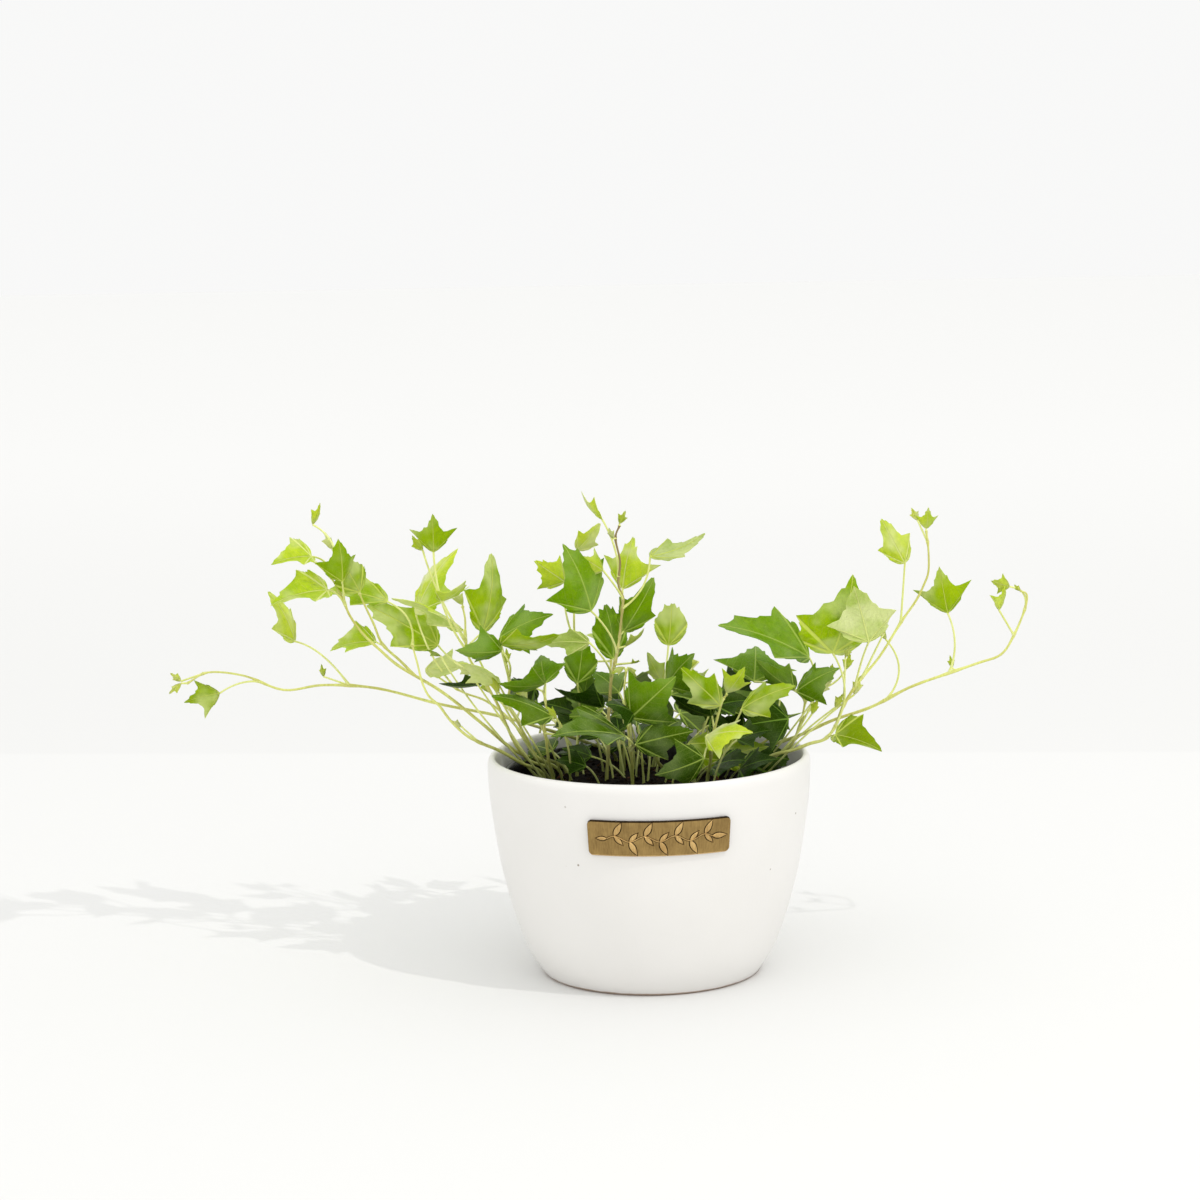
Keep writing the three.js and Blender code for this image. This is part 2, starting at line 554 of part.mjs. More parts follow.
/** The root ball and soil: a low heap in the nursery pot, with a plain hole for each stem. */
function soilGeometry() {
  const { bottomRadius, topRadius, top, wall } = LINER;
  const innerFloor = POT_FLOOR + GAP + wall;
  const growth = (topRadius - bottomRadius) / (top - innerFloor);
  const radiusAt = (z) => bottomRadius - wall + growth * (z - innerFloor) - 1.5 * GAP;
  const floor = innerFloor + GAP;
  const edge = SOIL_LEVEL - 2;
  const profile = [
    [0, floor], [radiusAt(floor), floor], [radiusAt(edge), edge],
    [48, SOIL_LEVEL - 0.4], [26, SOIL_LEVEL], [0, SOIL_LEVEL],
  ];
  const heap = turned(profile, LINER_SEGMENTS);
  const position = heap.getAttribute("position");
  for (let i = 0; i < position.count; i += 1) {
    const [x, y, z] = [position.getX(i), position.getY(i), position.getZ(i)];
    if (z > edge + 1) position.setZ(i, z + 0.8 * Math.sin(0.31 * x + 1) * Math.cos(0.27 * y));
  }
  let soil = toSolid(heap.translate(LINER.x, 0, 0));
  const holeRadius = STEM_RADIUS.root + 3 * GAP;
  VINES.forEach(([, [[[x, y]]]]) => {
    const height = ROOTED_DEPTH + 2 * GAP + 6;
    const hole = new THREE.CylinderGeometry(holeRadius, holeRadius, height, 6).rotateX(Math.PI / 2);
    hole.translate(x, y, SOIL_LEVEL + 6 - height / 2);
    soil = soil.subtract(toSolid(hole));
  });
  return toGeometry(soil);
}

/** The planter's outer radius at a height. */
function potRadiusAt(z) {
  const above = POT_OUTSIDE.findIndex(([, height]) => height >= z);
  const [[r0, z0], [r1, z1]] = [POT_OUTSIDE[above - 1], POT_OUTSIDE[above]];
  return THREE.MathUtils.mapLinear(z, z0, z1, r0, r1);
}

/** The plate: a thin strip with rounded corners, bent to the planter's side. */
function plateGeometry() {
  const { middle, width, bottom, top, thickness, corner } = PLATE;
  const columns = [];
  const cornerSteps = 3;
  for (let i = 0; i < cornerSteps; i += 1) {
    const turn = (Math.PI / 2) * (i / cornerSteps);
    columns.push([corner * (1 - Math.cos(turn)), corner * (1 - Math.sin(turn))]);
  }
  const flatSteps = 20;
  for (let i = 0; i <= flatSteps; i += 1) {
    columns.push([corner + (width - 2 * corner) * (i / flatSteps), 0]);
  }
  for (let i = cornerSteps - 1; i >= 0; i -= 1) {
    const [inset, cut] = columns[i];
    columns.push([width - inset, cut]);
  }
  const radiusAtMiddle = potRadiusAt((bottom + top) / 2);
  const layer = (stand) => columns.flatMap(([s, cut]) => {
    const angle = THREE.MathUtils.degToRad(middle) + (s - width / 2) / radiusAtMiddle;
    return [bottom + cut, top - cut].map((z) => {
      const radius = potRadiusAt(z) + stand;
      return new THREE.Vector3(radius * Math.sin(angle), -radius * Math.cos(angle), z);
    });
  });
  const points = [...layer(2 * GAP), ...layer(2 * GAP + thickness)];
  const front = 2 * columns.length;
  const triangles = [];
  const quad = (a, b, c, d) => triangles.push([a, b, c], [a, c, d]);
  for (let i = 0; i < columns.length - 1; i += 1) {
    const [a, b, c, d] = [2 * i, 2 * i + 2, 2 * i + 3, 2 * i + 1];
    quad(a, d, c, b);
    quad(front + a, front + b, front + c, front + d);
    quad(a, b, front + b, front + a);
    quad(c, d, front + d, front + c);
  }
  const last = 2 * columns.length - 2;
  quad(0, front, front + 1, 1);
  quad(last, last + 1, front + last + 1, front + last);
  return toGeometry(toSolid(fromTriangles(points, triangles)));
}

const object = new THREE.Group();

function addPiece(name, geometry, color, roughness, metalness = 0) {
  const mesh = new THREE.Mesh(geometry, new THREE.MeshStandardMaterial({ color, roughness, metalness }));
  mesh.name = name;
  object.add(mesh);
}

addPiece("pot", potGeometry(), 0xf0efec, 0.35);
addPiece("plate", plateGeometry(), 0xb08a54, 0.35, 1);
addPiece("nursery_pot", linerGeometry(), 0x15140f, 0.3);
addPiece("soil", soilGeometry(), 0x241a10, 0.95);
const LEAF_GREENS = [0x6f9e1f, 0x5c8a1c, 0x86b32c];
VINES.forEach(([name, stems], i) => {
  addPiece(name, toGeometry(vineSolid(stems)), LEAF_GREENS[i % LEAF_GREENS.length], 0.5);
});

export default object;
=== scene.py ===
"""A potted ivy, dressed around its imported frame: a glazed planter with a brass plate, a nursery pot
of soil, and leafy stems. Metres, +Z up, origin under the planter's middle, the plate facing -Y.
Lengths that are written in millimetres are turned into metres by MM."""

import math
import random

import bpy
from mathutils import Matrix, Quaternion, Vector, noise


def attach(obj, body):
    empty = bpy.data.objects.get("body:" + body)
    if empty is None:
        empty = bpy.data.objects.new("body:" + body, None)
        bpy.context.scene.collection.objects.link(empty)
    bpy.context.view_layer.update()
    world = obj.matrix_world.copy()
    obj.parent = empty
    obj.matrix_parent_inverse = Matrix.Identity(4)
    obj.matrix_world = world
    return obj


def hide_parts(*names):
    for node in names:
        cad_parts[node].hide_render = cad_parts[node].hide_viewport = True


MM = 0.001

# Camera: it stands at EYE, left of the planter's axis, and looks straight back and down to the height
# AIM_Z, turned by CAMERA_ROLL degrees about its view.
EYE = {"x": -21.7, "distance": 1500, "z": 405}
AIM_Z = 177.1
CAMERA_ROLL = -1.0
CAMERA_LENS = 97.3
SENSOR_WIDTH = 36

# Planter: [radius, height] up its outside.
POT_OUTSIDE = [
    [50.3, 0], [51.4, 0.9], [58.4, 12], [64.5, 28.8], [69.7, 48.5], [73.1, 67.9], [75.3, 85.5], [76, 99],
    [75.7, 102.4], [74.5, 104],
]
POT_WALL = 4
POT_FLOOR = 5
POT_SEGMENTS = 160

# Nursery pot and soil. The nursery pot stands off the planter's axis by its x. SOIL_WAVES are the
# soil's unevenness: the height of each wave, and waves per mm.
GAP = 0.3
LINER = {
    "x": -3, "bottom_radius": 43, "top_radius": 64.2, "rim_radius": 65.4, "rim_height": 3, "top": 97,
    "wall": 1.2,
}
SOIL_LEVEL = 91
SOIL_WAVES = ((1.5, 0.07), (0.9, 0.23), (0.5, 0.7))
ROOTED_DEPTH = 12
CRUMBS = 900
# A crumb's corners, which are an octahedron's, and the faces between them.
CRUMB_CORNERS = [(1, 0, 0), (0, 1, 0), (-1, 0, 0), (0, -1, 0), (0, 0, 1), (0, 0, -1)]
CRUMB_FACES = [
    (0, 1, 4), (1, 2, 4), (2, 3, 4), (3, 0, 4), (1, 0, 5), (2, 1, 5), (3, 2, 5), (0, 3, 5),
]

# Plate: it follows the planter's side, and its middle is in degrees from the front towards +X.
PLATE = {"middle": 2.5, "width": 64.5, "bottom": 71.4, "top": 88, "thickness": 1.5, "corner": 1.7}
PLATE_BEVEL = 0.6
# The raised sprig, in mm: its waved stem and its bends, and how far the dark line round it reaches and
# how low it lies. At each bend its leaves turn from the stem by these degrees, with these sizes.
SPRIG = {"width": 47, "wave": 1.3, "bends": 7, "stem": 0.32, "leaf": 7.2, "outline": 0.45, "sunk": 0.55}
SPRIG_TURNS = ((62, 1.0), (-48, 0.8))

# Stems and leaves.
STEM_RADIUS = {"root": 0.92, "branch": 0.72, "end": 0.42}
STALK_RADIUS = {"start": 0.54, "end": 0.42}
STEM_STEPS = 6
# Strewn inner shoots: how many, how far out they stand and their leaves reach, how far those reach to
# the front, the corner of the soil at the front left that they leave bare, how high the shoots are,
# how far they lean, how long their leaves are, all in mm, and how likely each age is. SHOOT_ROOM is
# the least room round the middle of a leaf, in metres.
SHOOTS = 44
SHOOT_REACH = 55
SHOOT_TIP_REACH = 68
SHOOT_FRONT = -30
BARE_CORNER = {"x": -44, "y": 15}
SHOOT_HEIGHT = (7, 38)
SHOOT_LEAN = (6, 18)
SHOOT_LEAF = (13, 24)
SHOOT_AGES = (0, 0, 2, 6, 13)
SHOOT_ROOM = 0.011
OLD_STEMS = ("vine_centre_tall",)
YOUNG_STEM_SLOT, OLD_STEM_SLOT, STALK_SLOT = 0, 1, 2
# A swelling where a leaf leaves a stem: how far it reaches, in stretches of the stem, and its height.
KNOT = {"reach": 0.22, "height": 0.32}
BLADE_THICKNESS = 0.45
# Shares of a blade's length: how high it arches, how far its side lobes and its point droop, how
# wide the trough along its midrib is, how far it swells between veins, how uneven its edge is, and
# how far the teeth on it stand out. Each blade is a little twisted, waved and wider or narrower.
BLADE_ARCH = 0.06
LOBE_DROOP = 0.13
TIP_DROOP = 0.12
RIB_HALF_WIDTH = 0.03
QUILT = 0.03
EDGE_RIPPLE = 0.1
EDGE_TOOTH = 0.075
BLADE_TWIST = 0.05
BLADE_WAVE = (0.008, 0.018)
BLADE_WIDTHS = (0.9, 1.04)
EDGE_STEPS = 12
RAY_STEPS = 8
# Blades longer than RIBBED_LENGTH have ribs to their side lobes; ribs are at their full thickness on
# blades of RIB_FULL_LENGTH. Metres.
RIBBED_LENGTH = 0.018
RIB_FULL_LENGTH = 0.035

# Half outlines of a blade of length 1, from beside the stalk to the point: [distance from the
# midrib, distance along it]. Each is three runs that meet in sharp tips: up to the basal lobe, up to
# the side lobe, and up to the blade's point.
OUTLINES = {
    "wide": [
        [[0.03, 0], [0.13, 0.03], [0.25, 0.1], [0.37, 0.2]],
        [[0.37, 0.2], [0.4, 0.31], [0.57, 0.47]],
        [[0.57, 0.47], [0.34, 0.51], [0.23, 0.62], [0.15, 0.77], [0.06, 0.91], [0, 1]],
    ],
    "heart": [
        [[0.05, -0.02], [0.19, -0.03], [0.34, 0.04], [0.48, 0.16]],
        [[0.48, 0.16], [0.46, 0.25], [0.56, 0.38]],
        [[0.56, 0.38], [0.35, 0.45], [0.24, 0.59], [0.15, 0.76], [0.06, 0.91], [0, 1]],
    ],
    "star": [
        [[0.03, 0.01], [0.11, 0.05], [0.21, 0.13], [0.31, 0.22]],
        [[0.31, 0.22], [0.37, 0.33], [0.61, 0.57]],
        [[0.61, 0.57], [0.31, 0.54], [0.18, 0.64], [0.12, 0.78], [0.045, 0.92], [0, 1]],
    ],
    "arrow": [
        [[0.03, 0], [0.11, 0.03], [0.18, 0.1], [0.25, 0.2]],
        [[0.25, 0.2], [0.27, 0.3], [0.37, 0.47]],
        [[0.37, 0.47], [0.22, 0.52], [0.16, 0.64], [0.12, 0.8], [0.05, 0.94], [0, 1]],
    ],
    "round": [
        [[0.03, 0], [0.17, 0.04], [0.3, 0.16], [0.4, 0.32]],
        [[0.4, 0.32], [0.42, 0.44], [0.43, 0.57]],
        [[0.43, 0.57], [0.34, 0.69], [0.22, 0.84], [0.09, 0.95], [0, 1]],
    ],
    "bud": [
        [[0.03, 0.01], [0.11, 0.09], [0.18, 0.2], [0.24, 0.31]],
        [[0.24, 0.31], [0.26, 0.39], [0.36, 0.59]],
        [[0.36, 0.59], [0.17, 0.6], [0.11, 0.7], [0.08, 0.84], [0.03, 0.95], [0, 1]],
    ],
}
# The usual fold of each outline's blades, in degrees.
FOLD = {"wide": 12, "heart": 12, "star": 14, "arrow": 20, "round": 10, "bud": 32}

# Light: the strength of the sky near the horizon and high up, and what the front adds to it, with how
# far up and to the front a direction points where each change starts and ends; and a lamp that is as
# strong at any distance.
SKY_LOW = 0.943
SKY_HIGH = 1.18
SKY_FRONT = 0.2
SKY_RISE = (0.15, 0.8)
SKY_TURN = (-0.2, -0.9)
LAMP = {"place": (0.45, -0.46, 0.8), "power": 7.8, "radius": 0.006}
# Floor, in metres: beyond WALL_LINE, a line that is turned a little, it has the tones of a wall, which
# are at their top at WALL_TOP_LINE. WALL_BLUR is how soft the line is.
FLOOR_HALF = 6
WALL_LINE = 0.518
WALL_TOP_LINE = 2.4
WALL_BLUR = 0.006
WALL_TURN = 0.08
FLOOR_TONE = (0.765, 0.765, 0.754, 1)
WALL_TONE = (0.745, 0.745, 0.735, 1)
WALL_TOP_TONE = (0.8, 0.8, 0.79, 1)

# Each vine: [name, stems]. Each stem: [start, points, leaves]. The first stem starts at [x, y] on the
# soil, and the others at a place on the first, counted along its points.
# Points are read off a front view: x and z as seen from EYE against the upright plane through the
# planter's axis, and y for how far behind (+) or before (-) that plane the point lies.
# Each leaf: [place on the stem, foot, tip, roll, outline, fold, bow]. With roll 0 the upper face
# looks to the front; fold is how far each half hangs from flat; bow bends the stalk at its middle.
VINES = [
  ["vine_far_left", [
    [[-16, 50],
      [[-28, 109, 46], [-48, 116, 42], [-71, 123, 38], [-98, 129, 34], [-127, 137, 30], [-152, 139, 27],
        [-171, 137, 25], [-189, 144, 22], [-206, 146, 20], [-216, 141, 19]],
      [
        [9, [-219, 141, 18], [-225, 136, 16], 20, "bud"],
        [8.2, [-219, 142, 24], [-224, 146, 26], 10, "bud"],
        [6.6, [-201, 136, 18], [-218, 132, 14], 30, "star", 12, [0, 2, 0]],
        [4.5, [-165, 160, 22], [-176, 184, 16], 62, "arrow", 14, [0, 4, 0]],
        [4.5, [-152, 143, 32], [-153, 149, 33], 0, "bud"],
      ]],
  ]],
  ["vine_left_top", [
    [[-47, 24],
      [[-63, 106, 16], [-79, 120, 12], [-97, 135, 10], [-116, 147, 8], [-125, 155, 7], [-133, 163, 6],
        [-139, 172, 5], [-142, 180, 4], [-146, 188, 4], [-150, 193, 3], [-154, 197, 2]],
      [
        [10, [-156, 198, 1], [-161, 200, -1], 0, "bud"],
        [8.4, [-156, 200, -6], [-175, 197, -14], 56, "heart", -26, [2, 2, 0]],
        [6.6, [-149, 184, -4], [-176, 178, -14], 59, "heart", -22, [0, 2, 0]],
        [6.7, [-142, 188, -8], [-143, 208, -12], 30, "wide", 30],
        [7.4, [-155, 215, 10], [-151, 225, 12], 45, "bud", 30, [4, 4, 2]],
        [7.5, [-146, 203, 14], [-150, 212, 16], 40, "bud", 30, [1, 0, 2]],
      ]],
    [2.6,
      [[-116, 150, 10], [-124, 158, 11], [-128, 168, 10], [-132, 177, 8], [-134, 182, 6]],
      [
        [4, [-134, 183, 4], [-142, 198, -4], 20, "round"],
        [0.9, [-127, 159, 14], [-149, 156, 20], 66, "wide", -22],
      ]],
  ]],
  ["vine_left_low", [
    [[-50, 6],
      [[-60, 100, 2], [-70, 106, -2], [-79, 110, -5], [-86, 114, -7], [-93, 121, -9], [-98, 128, -9],
        [-103, 133, -9], [-106, 140, -8], [-108, 149, -8], [-110, 157, -8]],
      [
        [9, [-121, 178, 20], [-151, 184, 26], 60, "arrow", -10, [4, 2, 0]],
        [2.1, [-88, 118, 2], [-93, 121, 6], 0, "bud"],
      ]],
  ]],
  ["vine_left_leafy", [
    [[-46, 14],
      [[-56, 101, 10], [-62, 108, 6], [-67, 119, 2], [-71, 129, -1], [-76, 138, -4], [-81, 146, -6],
        [-84, 152, -7], [-85, 160, -8], [-85, 169, -8], [-86, 175, -8]],
      [
        [9, [-86, 176, -9], [-90, 183, -11], 0, "bud", 20],
        [6.5, [-77, 163, 2], [-71, 200, 10], 42, "arrow", 14],
        [7.2, [-86, 164, -2], [-119, 180, 2], 114, "arrow", 16],
        [6.3, [-99, 201, -12], [-99, 219, -16], 5, "star", 14, [-3, -2, -4]],
        [6.8, [-104, 202, -10], [-109, 209, -6], -10, "bud", 10, [-2, 0, 0]],
        [7, [-96, 178, -20], [-84, 187, -32], 60, "wide", 12, [0, 0, -4]],
        [4.6, [-98, 157, 38], [-131, 177, 44], 25, "arrow", -10, [0, 0, -12]],
        [3.8, [-75, 139, 4], [-98, 138, 2], -56, "arrow", 24],
      ]],
  ]],
  ["vine_left_arch", [
    [[-40, 20],
      [[-53, 104, 18], [-58, 112, 16], [-66, 122, 17], [-76, 130, 19], [-86, 134, 23], [-93, 138, 27]],
      [
        [5, [-104, 146, 30], [-84, 148, 22], 112, "wide", 8],
        [4.5, [-108, 172, 26], [-88, 203, 31], -64, "wide", 12, [-2, -2, 0]],
      ]],
  ]],
  ["vine_left_inner", [
    [[-42, 12],
      [[-53, 103, 6], [-57, 111, 0], [-62, 121, -8], [-66, 129, -14], [-65, 135, -17], [-65, 142, -19],
        [-66, 147, -20]],
      [
        [6, [-66, 148, -20], [-66, 155, -22], 20, "bud", 20],
        [3.2, [-70, 138, -23], [-88, 149, -30], 124, "wide", 14],
        [5, [-68, 154, -30], [-90, 154, -36], -25, "wide", 34, [2, 0, -4]],
        [5, [-69, 160, -12], [-44, 171, -20], -50, "wide", 12],
        [4.6, [-69, 157, -28], [-41, 160, -40], 50, "arrow", 10],
        [2, [-60, 126, -2], [-66, 134, 2], 10, "bud"],
        [2.4, [-74, 134, 12], [-79, 141, 14], 30, "bud"],
      ]],
  ]],
  ["vine_left_front", [
    [[-45, -6],
      [[-47, 100, -10], [-48, 109, -15], [-49, 119, -19], [-48, 127, -22], [-49, 134, -24]],
      [
        [2.2, [-45, 122, -32], [-73, 133, -40], 60, "arrow", 24],
        [4, [-53, 136, -18], [-65, 133, -4], -20, "round", 16],
        [4, [-48, 138, -34], [-70, 138, -44], -50, "wide", 12],
        [3.4, [-48, 138, -16], [-50, 152, 2], -8, "wide", 10],
        [1.5, [-40, 113, -26], [-42, 120, -27], 0, "bud"],
      ]],
  ]],
  ["vine_centre_left", [
    [[-34, 10],
      [[-34, 103, 12], [-33, 113, 15], [-31, 125, 17], [-32, 137, 18], [-33, 151, 19], [-34, 162, 19],
        [-34, 174, 19], [-35, 185, 19], [-33, 196, 18]],
      [
        [8, [-32, 201, 17], [-21, 213, 12], 10, "arrow", 10],
        [4.6, [-38, 186, 12], [-52, 196, 6], 10, "wide", 16, [-2, 0, 0]],
        [2, [-33, 138, -4], [-30, 157, -5], 10, "round", 8, [0, -4, 0]],
        [2.4, [-30, 133, 8], [-28, 143, 4], 20, "round", 14],
        [1.6, [-21, 126, 2], [-44, 135, -4], -60, "wide", 24],
        [1.1, [-20, 122, 4], [-44, 124, 2], -78, "arrow", 10],
      ]],
  ]],
  ["vine_centre_tall", [
    [[-20, -2],
      [[-19, 105, -2], [-19, 117, -3], [-18, 129, -4], [-17, 140, -5], [-15, 148, -6], [-13, 158, -7],
        [-12, 167, -7], [-11, 177, -7], [-13, 185, -8], [-12, 195, -8], [-14, 206, -8], [-12, 212, -8]],
      [
        [11, [-12, 213, -8], [-9, 219, -10], 0, "bud", 10],
        [8.3, [-20, 215, -2], [-30, 228, 2], -72, "star", 12, [2, 0, 0]],
        [10, [-15, 206, -12], [-17, 211, -14], 0, "bud"],
        [4.4, [-26, 172, -16], [-38, 204, -24], 42, "wide", 9, [2, 0, 0]],
        [7, [-20, 191, -12], [-31, 198, -18], 20, "star", 20, [2, -2, 0]],
        [7.2, [-11, 182, 0], [-6, 207, 4], -24, "star", 18],
        [6.6, [2, 197, -6], [28, 207, 2], 116, "arrow", 4, [3, -2, 0]],
        [5.2, [-11, 162, -2], [4, 187, -4], 12, "arrow", 10],
        [4, [-16, 149, 4], [-19, 175, 10], 38, "round", 6],
        [3.1, [-27, 157, -20], [-48, 157, -24], 160, "arrow", 5, [2, 0, -4]],
        [4.6, [-10, 155, -10], [-1, 163, -14], 60, "bud", 20],
        [3.8, [-7, 147, -12], [-4, 148, -18], 40, "bud"],
      ]],
  ]],
  ["vine_centre_front", [
    [[-8, -14],
      [[-8, 100, -18], [-9, 110, -24], [-10, 122, -28], [-11, 134, -27], [-10, 143, -26]],
      [
        [4, [-11, 145, -26], [-17, 142, -30], 20, "bud"],
        [4, [-9, 145, -26], [-5, 140, -24], 0, "bud"],
        [1.8, [-8, 121, -36], [13, 140, -44], -8, "wide", 12, [0, -3, -2]],
        [2.2, [-7, 123, -36], [-20, 128, -48], 70, "wide", 18],
        [0.7, [-11, 112, -42], [-46, 113, -56], 76, "wide", -12, [2, 0, -4]],
        [0.5, [-6, 108, -34], [21, 114, -45], -20, "arrow", 18],
      ]],
  ]],
  ["vine_centre_right", [
    [[8, 6],
      [[4, 100, 2], [3, 110, 0], [4, 121, -1], [7, 129, -1], [8, 136, -1]],
      [
        [4, [9, 136, -2], [22, 151, -14], -40, "wide", 16],
        [3.6, [10, 155, 6], [12, 175, 10], 6, "round", 6],
        [4, [7, 138, 4], [0, 152, 8], -20, "arrow", 16],
        [3, [24, 147, 18], [14, 146, 12], 40, "bud"],
      ]],
  ]],
  ["vine_right_front", [
    [[27, -14],
      [[29, 99, -18], [30, 109, -22], [32, 118, -26], [35, 128, -28], [37, 131, -28]],
      [
        [4, [37, 132, -28], [46, 144, -32], 20, "star", 22],
        [3.2, [34, 126, -34], [16, 144, -42], 10, "arrow", 16],
        [0.6, [44, 124, -36], [69, 135, -46], -50, "arrow", 14, [2, 0, 0]],
        [1, [27, 111, -44], [49, 113, -58], -64, "wide", 14, [0, 2, 0]],
        [0.4, [26, 101, -50], [3, 93, -60], -12, "wide", 14, [0, 4, 0]],
        [1.6, [30, 121, -12], [11, 131, -20], -50, "wide", 16],
      ]],
  ]],
  ["vine_right_dark", [
    [[44, 6],
      [[47, 101, 4], [53, 107, 0], [60, 112, -4], [65, 117, -6]],
      [
        [3, [66, 119, -8], [44, 116, -16], 22, "wide", 8],
        [2, [62, 128, 4], [52, 110, -4], 170, "wide", 12],
        [0.8, [46, 108, 14], [26, 122, 16], -10, "wide", 12],
      ]],
  ]],
  ["vine_right_mid", [
    [[50, 12],
      [[58, 100, 10], [66, 105, 6], [69, 110, 5], [72, 118, 6], [74, 127, 8], [76, 135, 9]],
      [
        [5, [76, 148, 10], [34, 165, -2], 55, "arrow", -18, [2, 0, 0]],
        [4, [50, 137, 14], [51, 155, 44], -4, "star", 10, [4, 2, 0]],
        [4.4, [70, 132, -8], [90, 143, -16], -48, "wide", 20, [2, 2, -2]],
        [4, [69, 133, -4], [51, 147, -10], -30, "arrow", 24, [3, 0, 0]],
        [2.6, [78, 131, 2], [87, 138, 0], 20, "bud", 10, [1, 0, 0]],
        [3, [77, 124, 4], [80, 128, 2], 0, "bud"],
        [4.6, [93, 142, 2], [95, 150, 0], 20, "bud", 10, [2, -2, 0]],
      ]],
  ]],
  ["vine_far_right", [
    [[44, 24],
      [[54, 105, 20], [71, 111, 18], [87, 118, 14], [105, 124, 10], [123, 133, 7], [140, 139, 5],
        [155, 144, 3], [166, 148, 2], [172, 157, 1], [177, 169, 0], [178, 176, 0], [175, 178, 0]],
      [
        [5.1, [141, 168, -2], [137, 190, -6], -6, "star", 14, [3, 0, 0]],
        [8, [165, 169, -2], [168, 181, -4], 50, "star", 25],
        [9, [170, 180, 2], [161, 183, 6], 0, "star", 24, [3, 2, 0]],
        [5.3, [143, 142, 6], [142, 148, 8], 0, "bud"],
        [11, [175, 178, 0], [172, 181, 2], 0, "bud"],
        [3.4, [112, 156, 10], [109, 162, 12], 20, "bud", 30, [6, 0, 0]],
      ]],
  ]],
  ["vine_right_top", [
    [[46, -4],
      [[57, 101, -8], [68, 104, -10], [76, 107, -11], [83, 109, -11], [88, 115, -10], [92, 125, -8],
        [99, 136, -6], [109, 148, -5], [119, 164, -4], [126, 174, -4], [130, 182, -4], [132, 188, -4],
        [132, 198, -4], [131, 207, -4]],
      [
        [13, [131, 208, -4], [132, 218, -6], 10, "star", 24],
        [12.4, [127, 212, 2], [124, 218, 4], 0, "bud", 10],
        [8, [121, 192, -2], [110, 213, -4], 0, "arrow", 16],
        [4, [87, 150, -16], [97, 187, -20], 26, "heart", 14, [5, 0, 0]],
        [5.8, [104, 155, -22], [97, 182, -30], 172, "wide", 12, [0, 2, 0]],
        [6.2, [111, 159, -14], [107, 165, -20], 60, "bud", 10],
        [3.2, [88, 111, -18], [110, 103, -28], -50, "heart", -30],
        [5, [93, 148, -14], [95, 153, -16], 0, "bud", 10],
      ]],
  ]],
  ["vine_back_left", [
    [[-34, 42],
      [[-39, 112, 52], [-43, 119, 59], [-47, 121, 68], [-50, 118, 76], [-52, 110, 83], [-54, 98, 86],
        [-55, 84, 86]],
      [
        [6, [-55, 82, 88], [-54, 64, 94], 165, "wide"],
        [5, [-46, 98, 96], [-33, 86, 106], 170, "wide"],
        [4, [-60, 108, 94], [-62, 93, 106], -160, "wide"],
        [3, [-42, 118, 88], [-28, 116, 102], 150, "wide"],
        [1, [-52, 128, 70], [-56, 132, 88], 175, "wide"],
      ]],
  ]],
  ["vine_back_middle", [
    [[4, 44],
      [[5, 112, 56], [7, 119, 65], [8, 123, 74], [8, 121, 82], [7, 114, 89], [4, 102, 92], [3, 90, 93],
        [3, 76, 92]],
      [
        [7, [3, 74, 93], [5, 54, 100], 175, "wide"],
        [6, [11, 90, 102], [24, 78, 112], 170, "wide"],
        [5, [-4, 104, 102], [-17, 92, 112], -170, "wide"],
        [4, [17, 116, 98], [33, 106, 108], 165, "star"],
        [2, [-2, 126, 84], [-12, 124, 102], -160, "wide"],
      ]],
  ]],
  ["vine_back_right", [
    [[34, 36],
      [[38, 110, 47], [43, 118, 54], [46, 121, 61], [50, 119, 68], [52, 112, 75], [54, 100, 79],
        [55, 87, 80]],
      [
        [6, [55, 85, 82], [54, 66, 88], 170, "wide"],
        [5, [62, 98, 88], [66, 82, 98], 178, "wide"],
        [4, [44, 106, 88], [34, 92, 98], -165, "wide"],
        [3, [60, 118, 80], [64, 112, 98], 160, "star"],
        [1, [36, 126, 66], [26, 128, 84], -170, "wide"],
      ]],
  ]],
  ["vine_back_upright", [
    [[-12, 32],
      [[-13, 108, 36], [-16, 122, 40], [-18, 136, 44], [-17, 148, 48], [-18, 156, 50]],
      [
        [4, [-18, 157, 52], [-22, 170, 64], 175, "wide"],
        [3, [-27, 148, 60], [-33, 150, 78], 165, "wide"],
        [2, [-8, 138, 58], [3, 136, 72], -170, "wide"],
        [1, [-26, 132, 56], [-38, 132, 70], 170, "wide"],
      ]],
  ]],
  ["vine_back_low", [
    [[24, 20],
      [[25, 106, 28], [26, 118, 36], [24, 128, 42], [22, 134, 46]],
      [
        [3, [22, 136, 48], [20, 144, 64], 178, "wide"],
        [2, [33, 130, 52], [43, 130, 68], 165, "wide"],
        [1, [12, 124, 48], [3, 124, 62], -170, "wide"],
      ]],
  ]],
]

# The ages of leaves, which set their colours: y young and yellowish, l lime, g green, m full green,
# d dark. LEAF_AGES has the age of each leaf in the order of VINES.
AGES = "ylgmd"
LEAF_AGES = {
    "vine_far_left": "yygly", "vine_left_top": "yllglygl", "vine_left_low": "gy",
    "vine_left_leafy": "yglgllgd", "vine_left_arch": "ll", "vine_left_inner": "ylmmgyy",
    "vine_left_front": "mdmmy", "vine_centre_left": "llmmdd", "vine_centre_tall": "ylymllgmmlyy",
    "vine_centre_front": "yymdmm", "vine_centre_right": "mggy", "vine_right_front": "lgglmd",
    "vine_right_dark": "ddd", "vine_right_mid": "mmmmyyl", "vine_far_right": "glyyyy",
    "vine_right_top": "lylglygy", "vine_back_left": "mgmgm", "vine_back_middle": "gmmgm",
    "vine_back_right": "mmgmg", "vine_back_upright": "lgmm", "vine_back_low": "gmd",
}
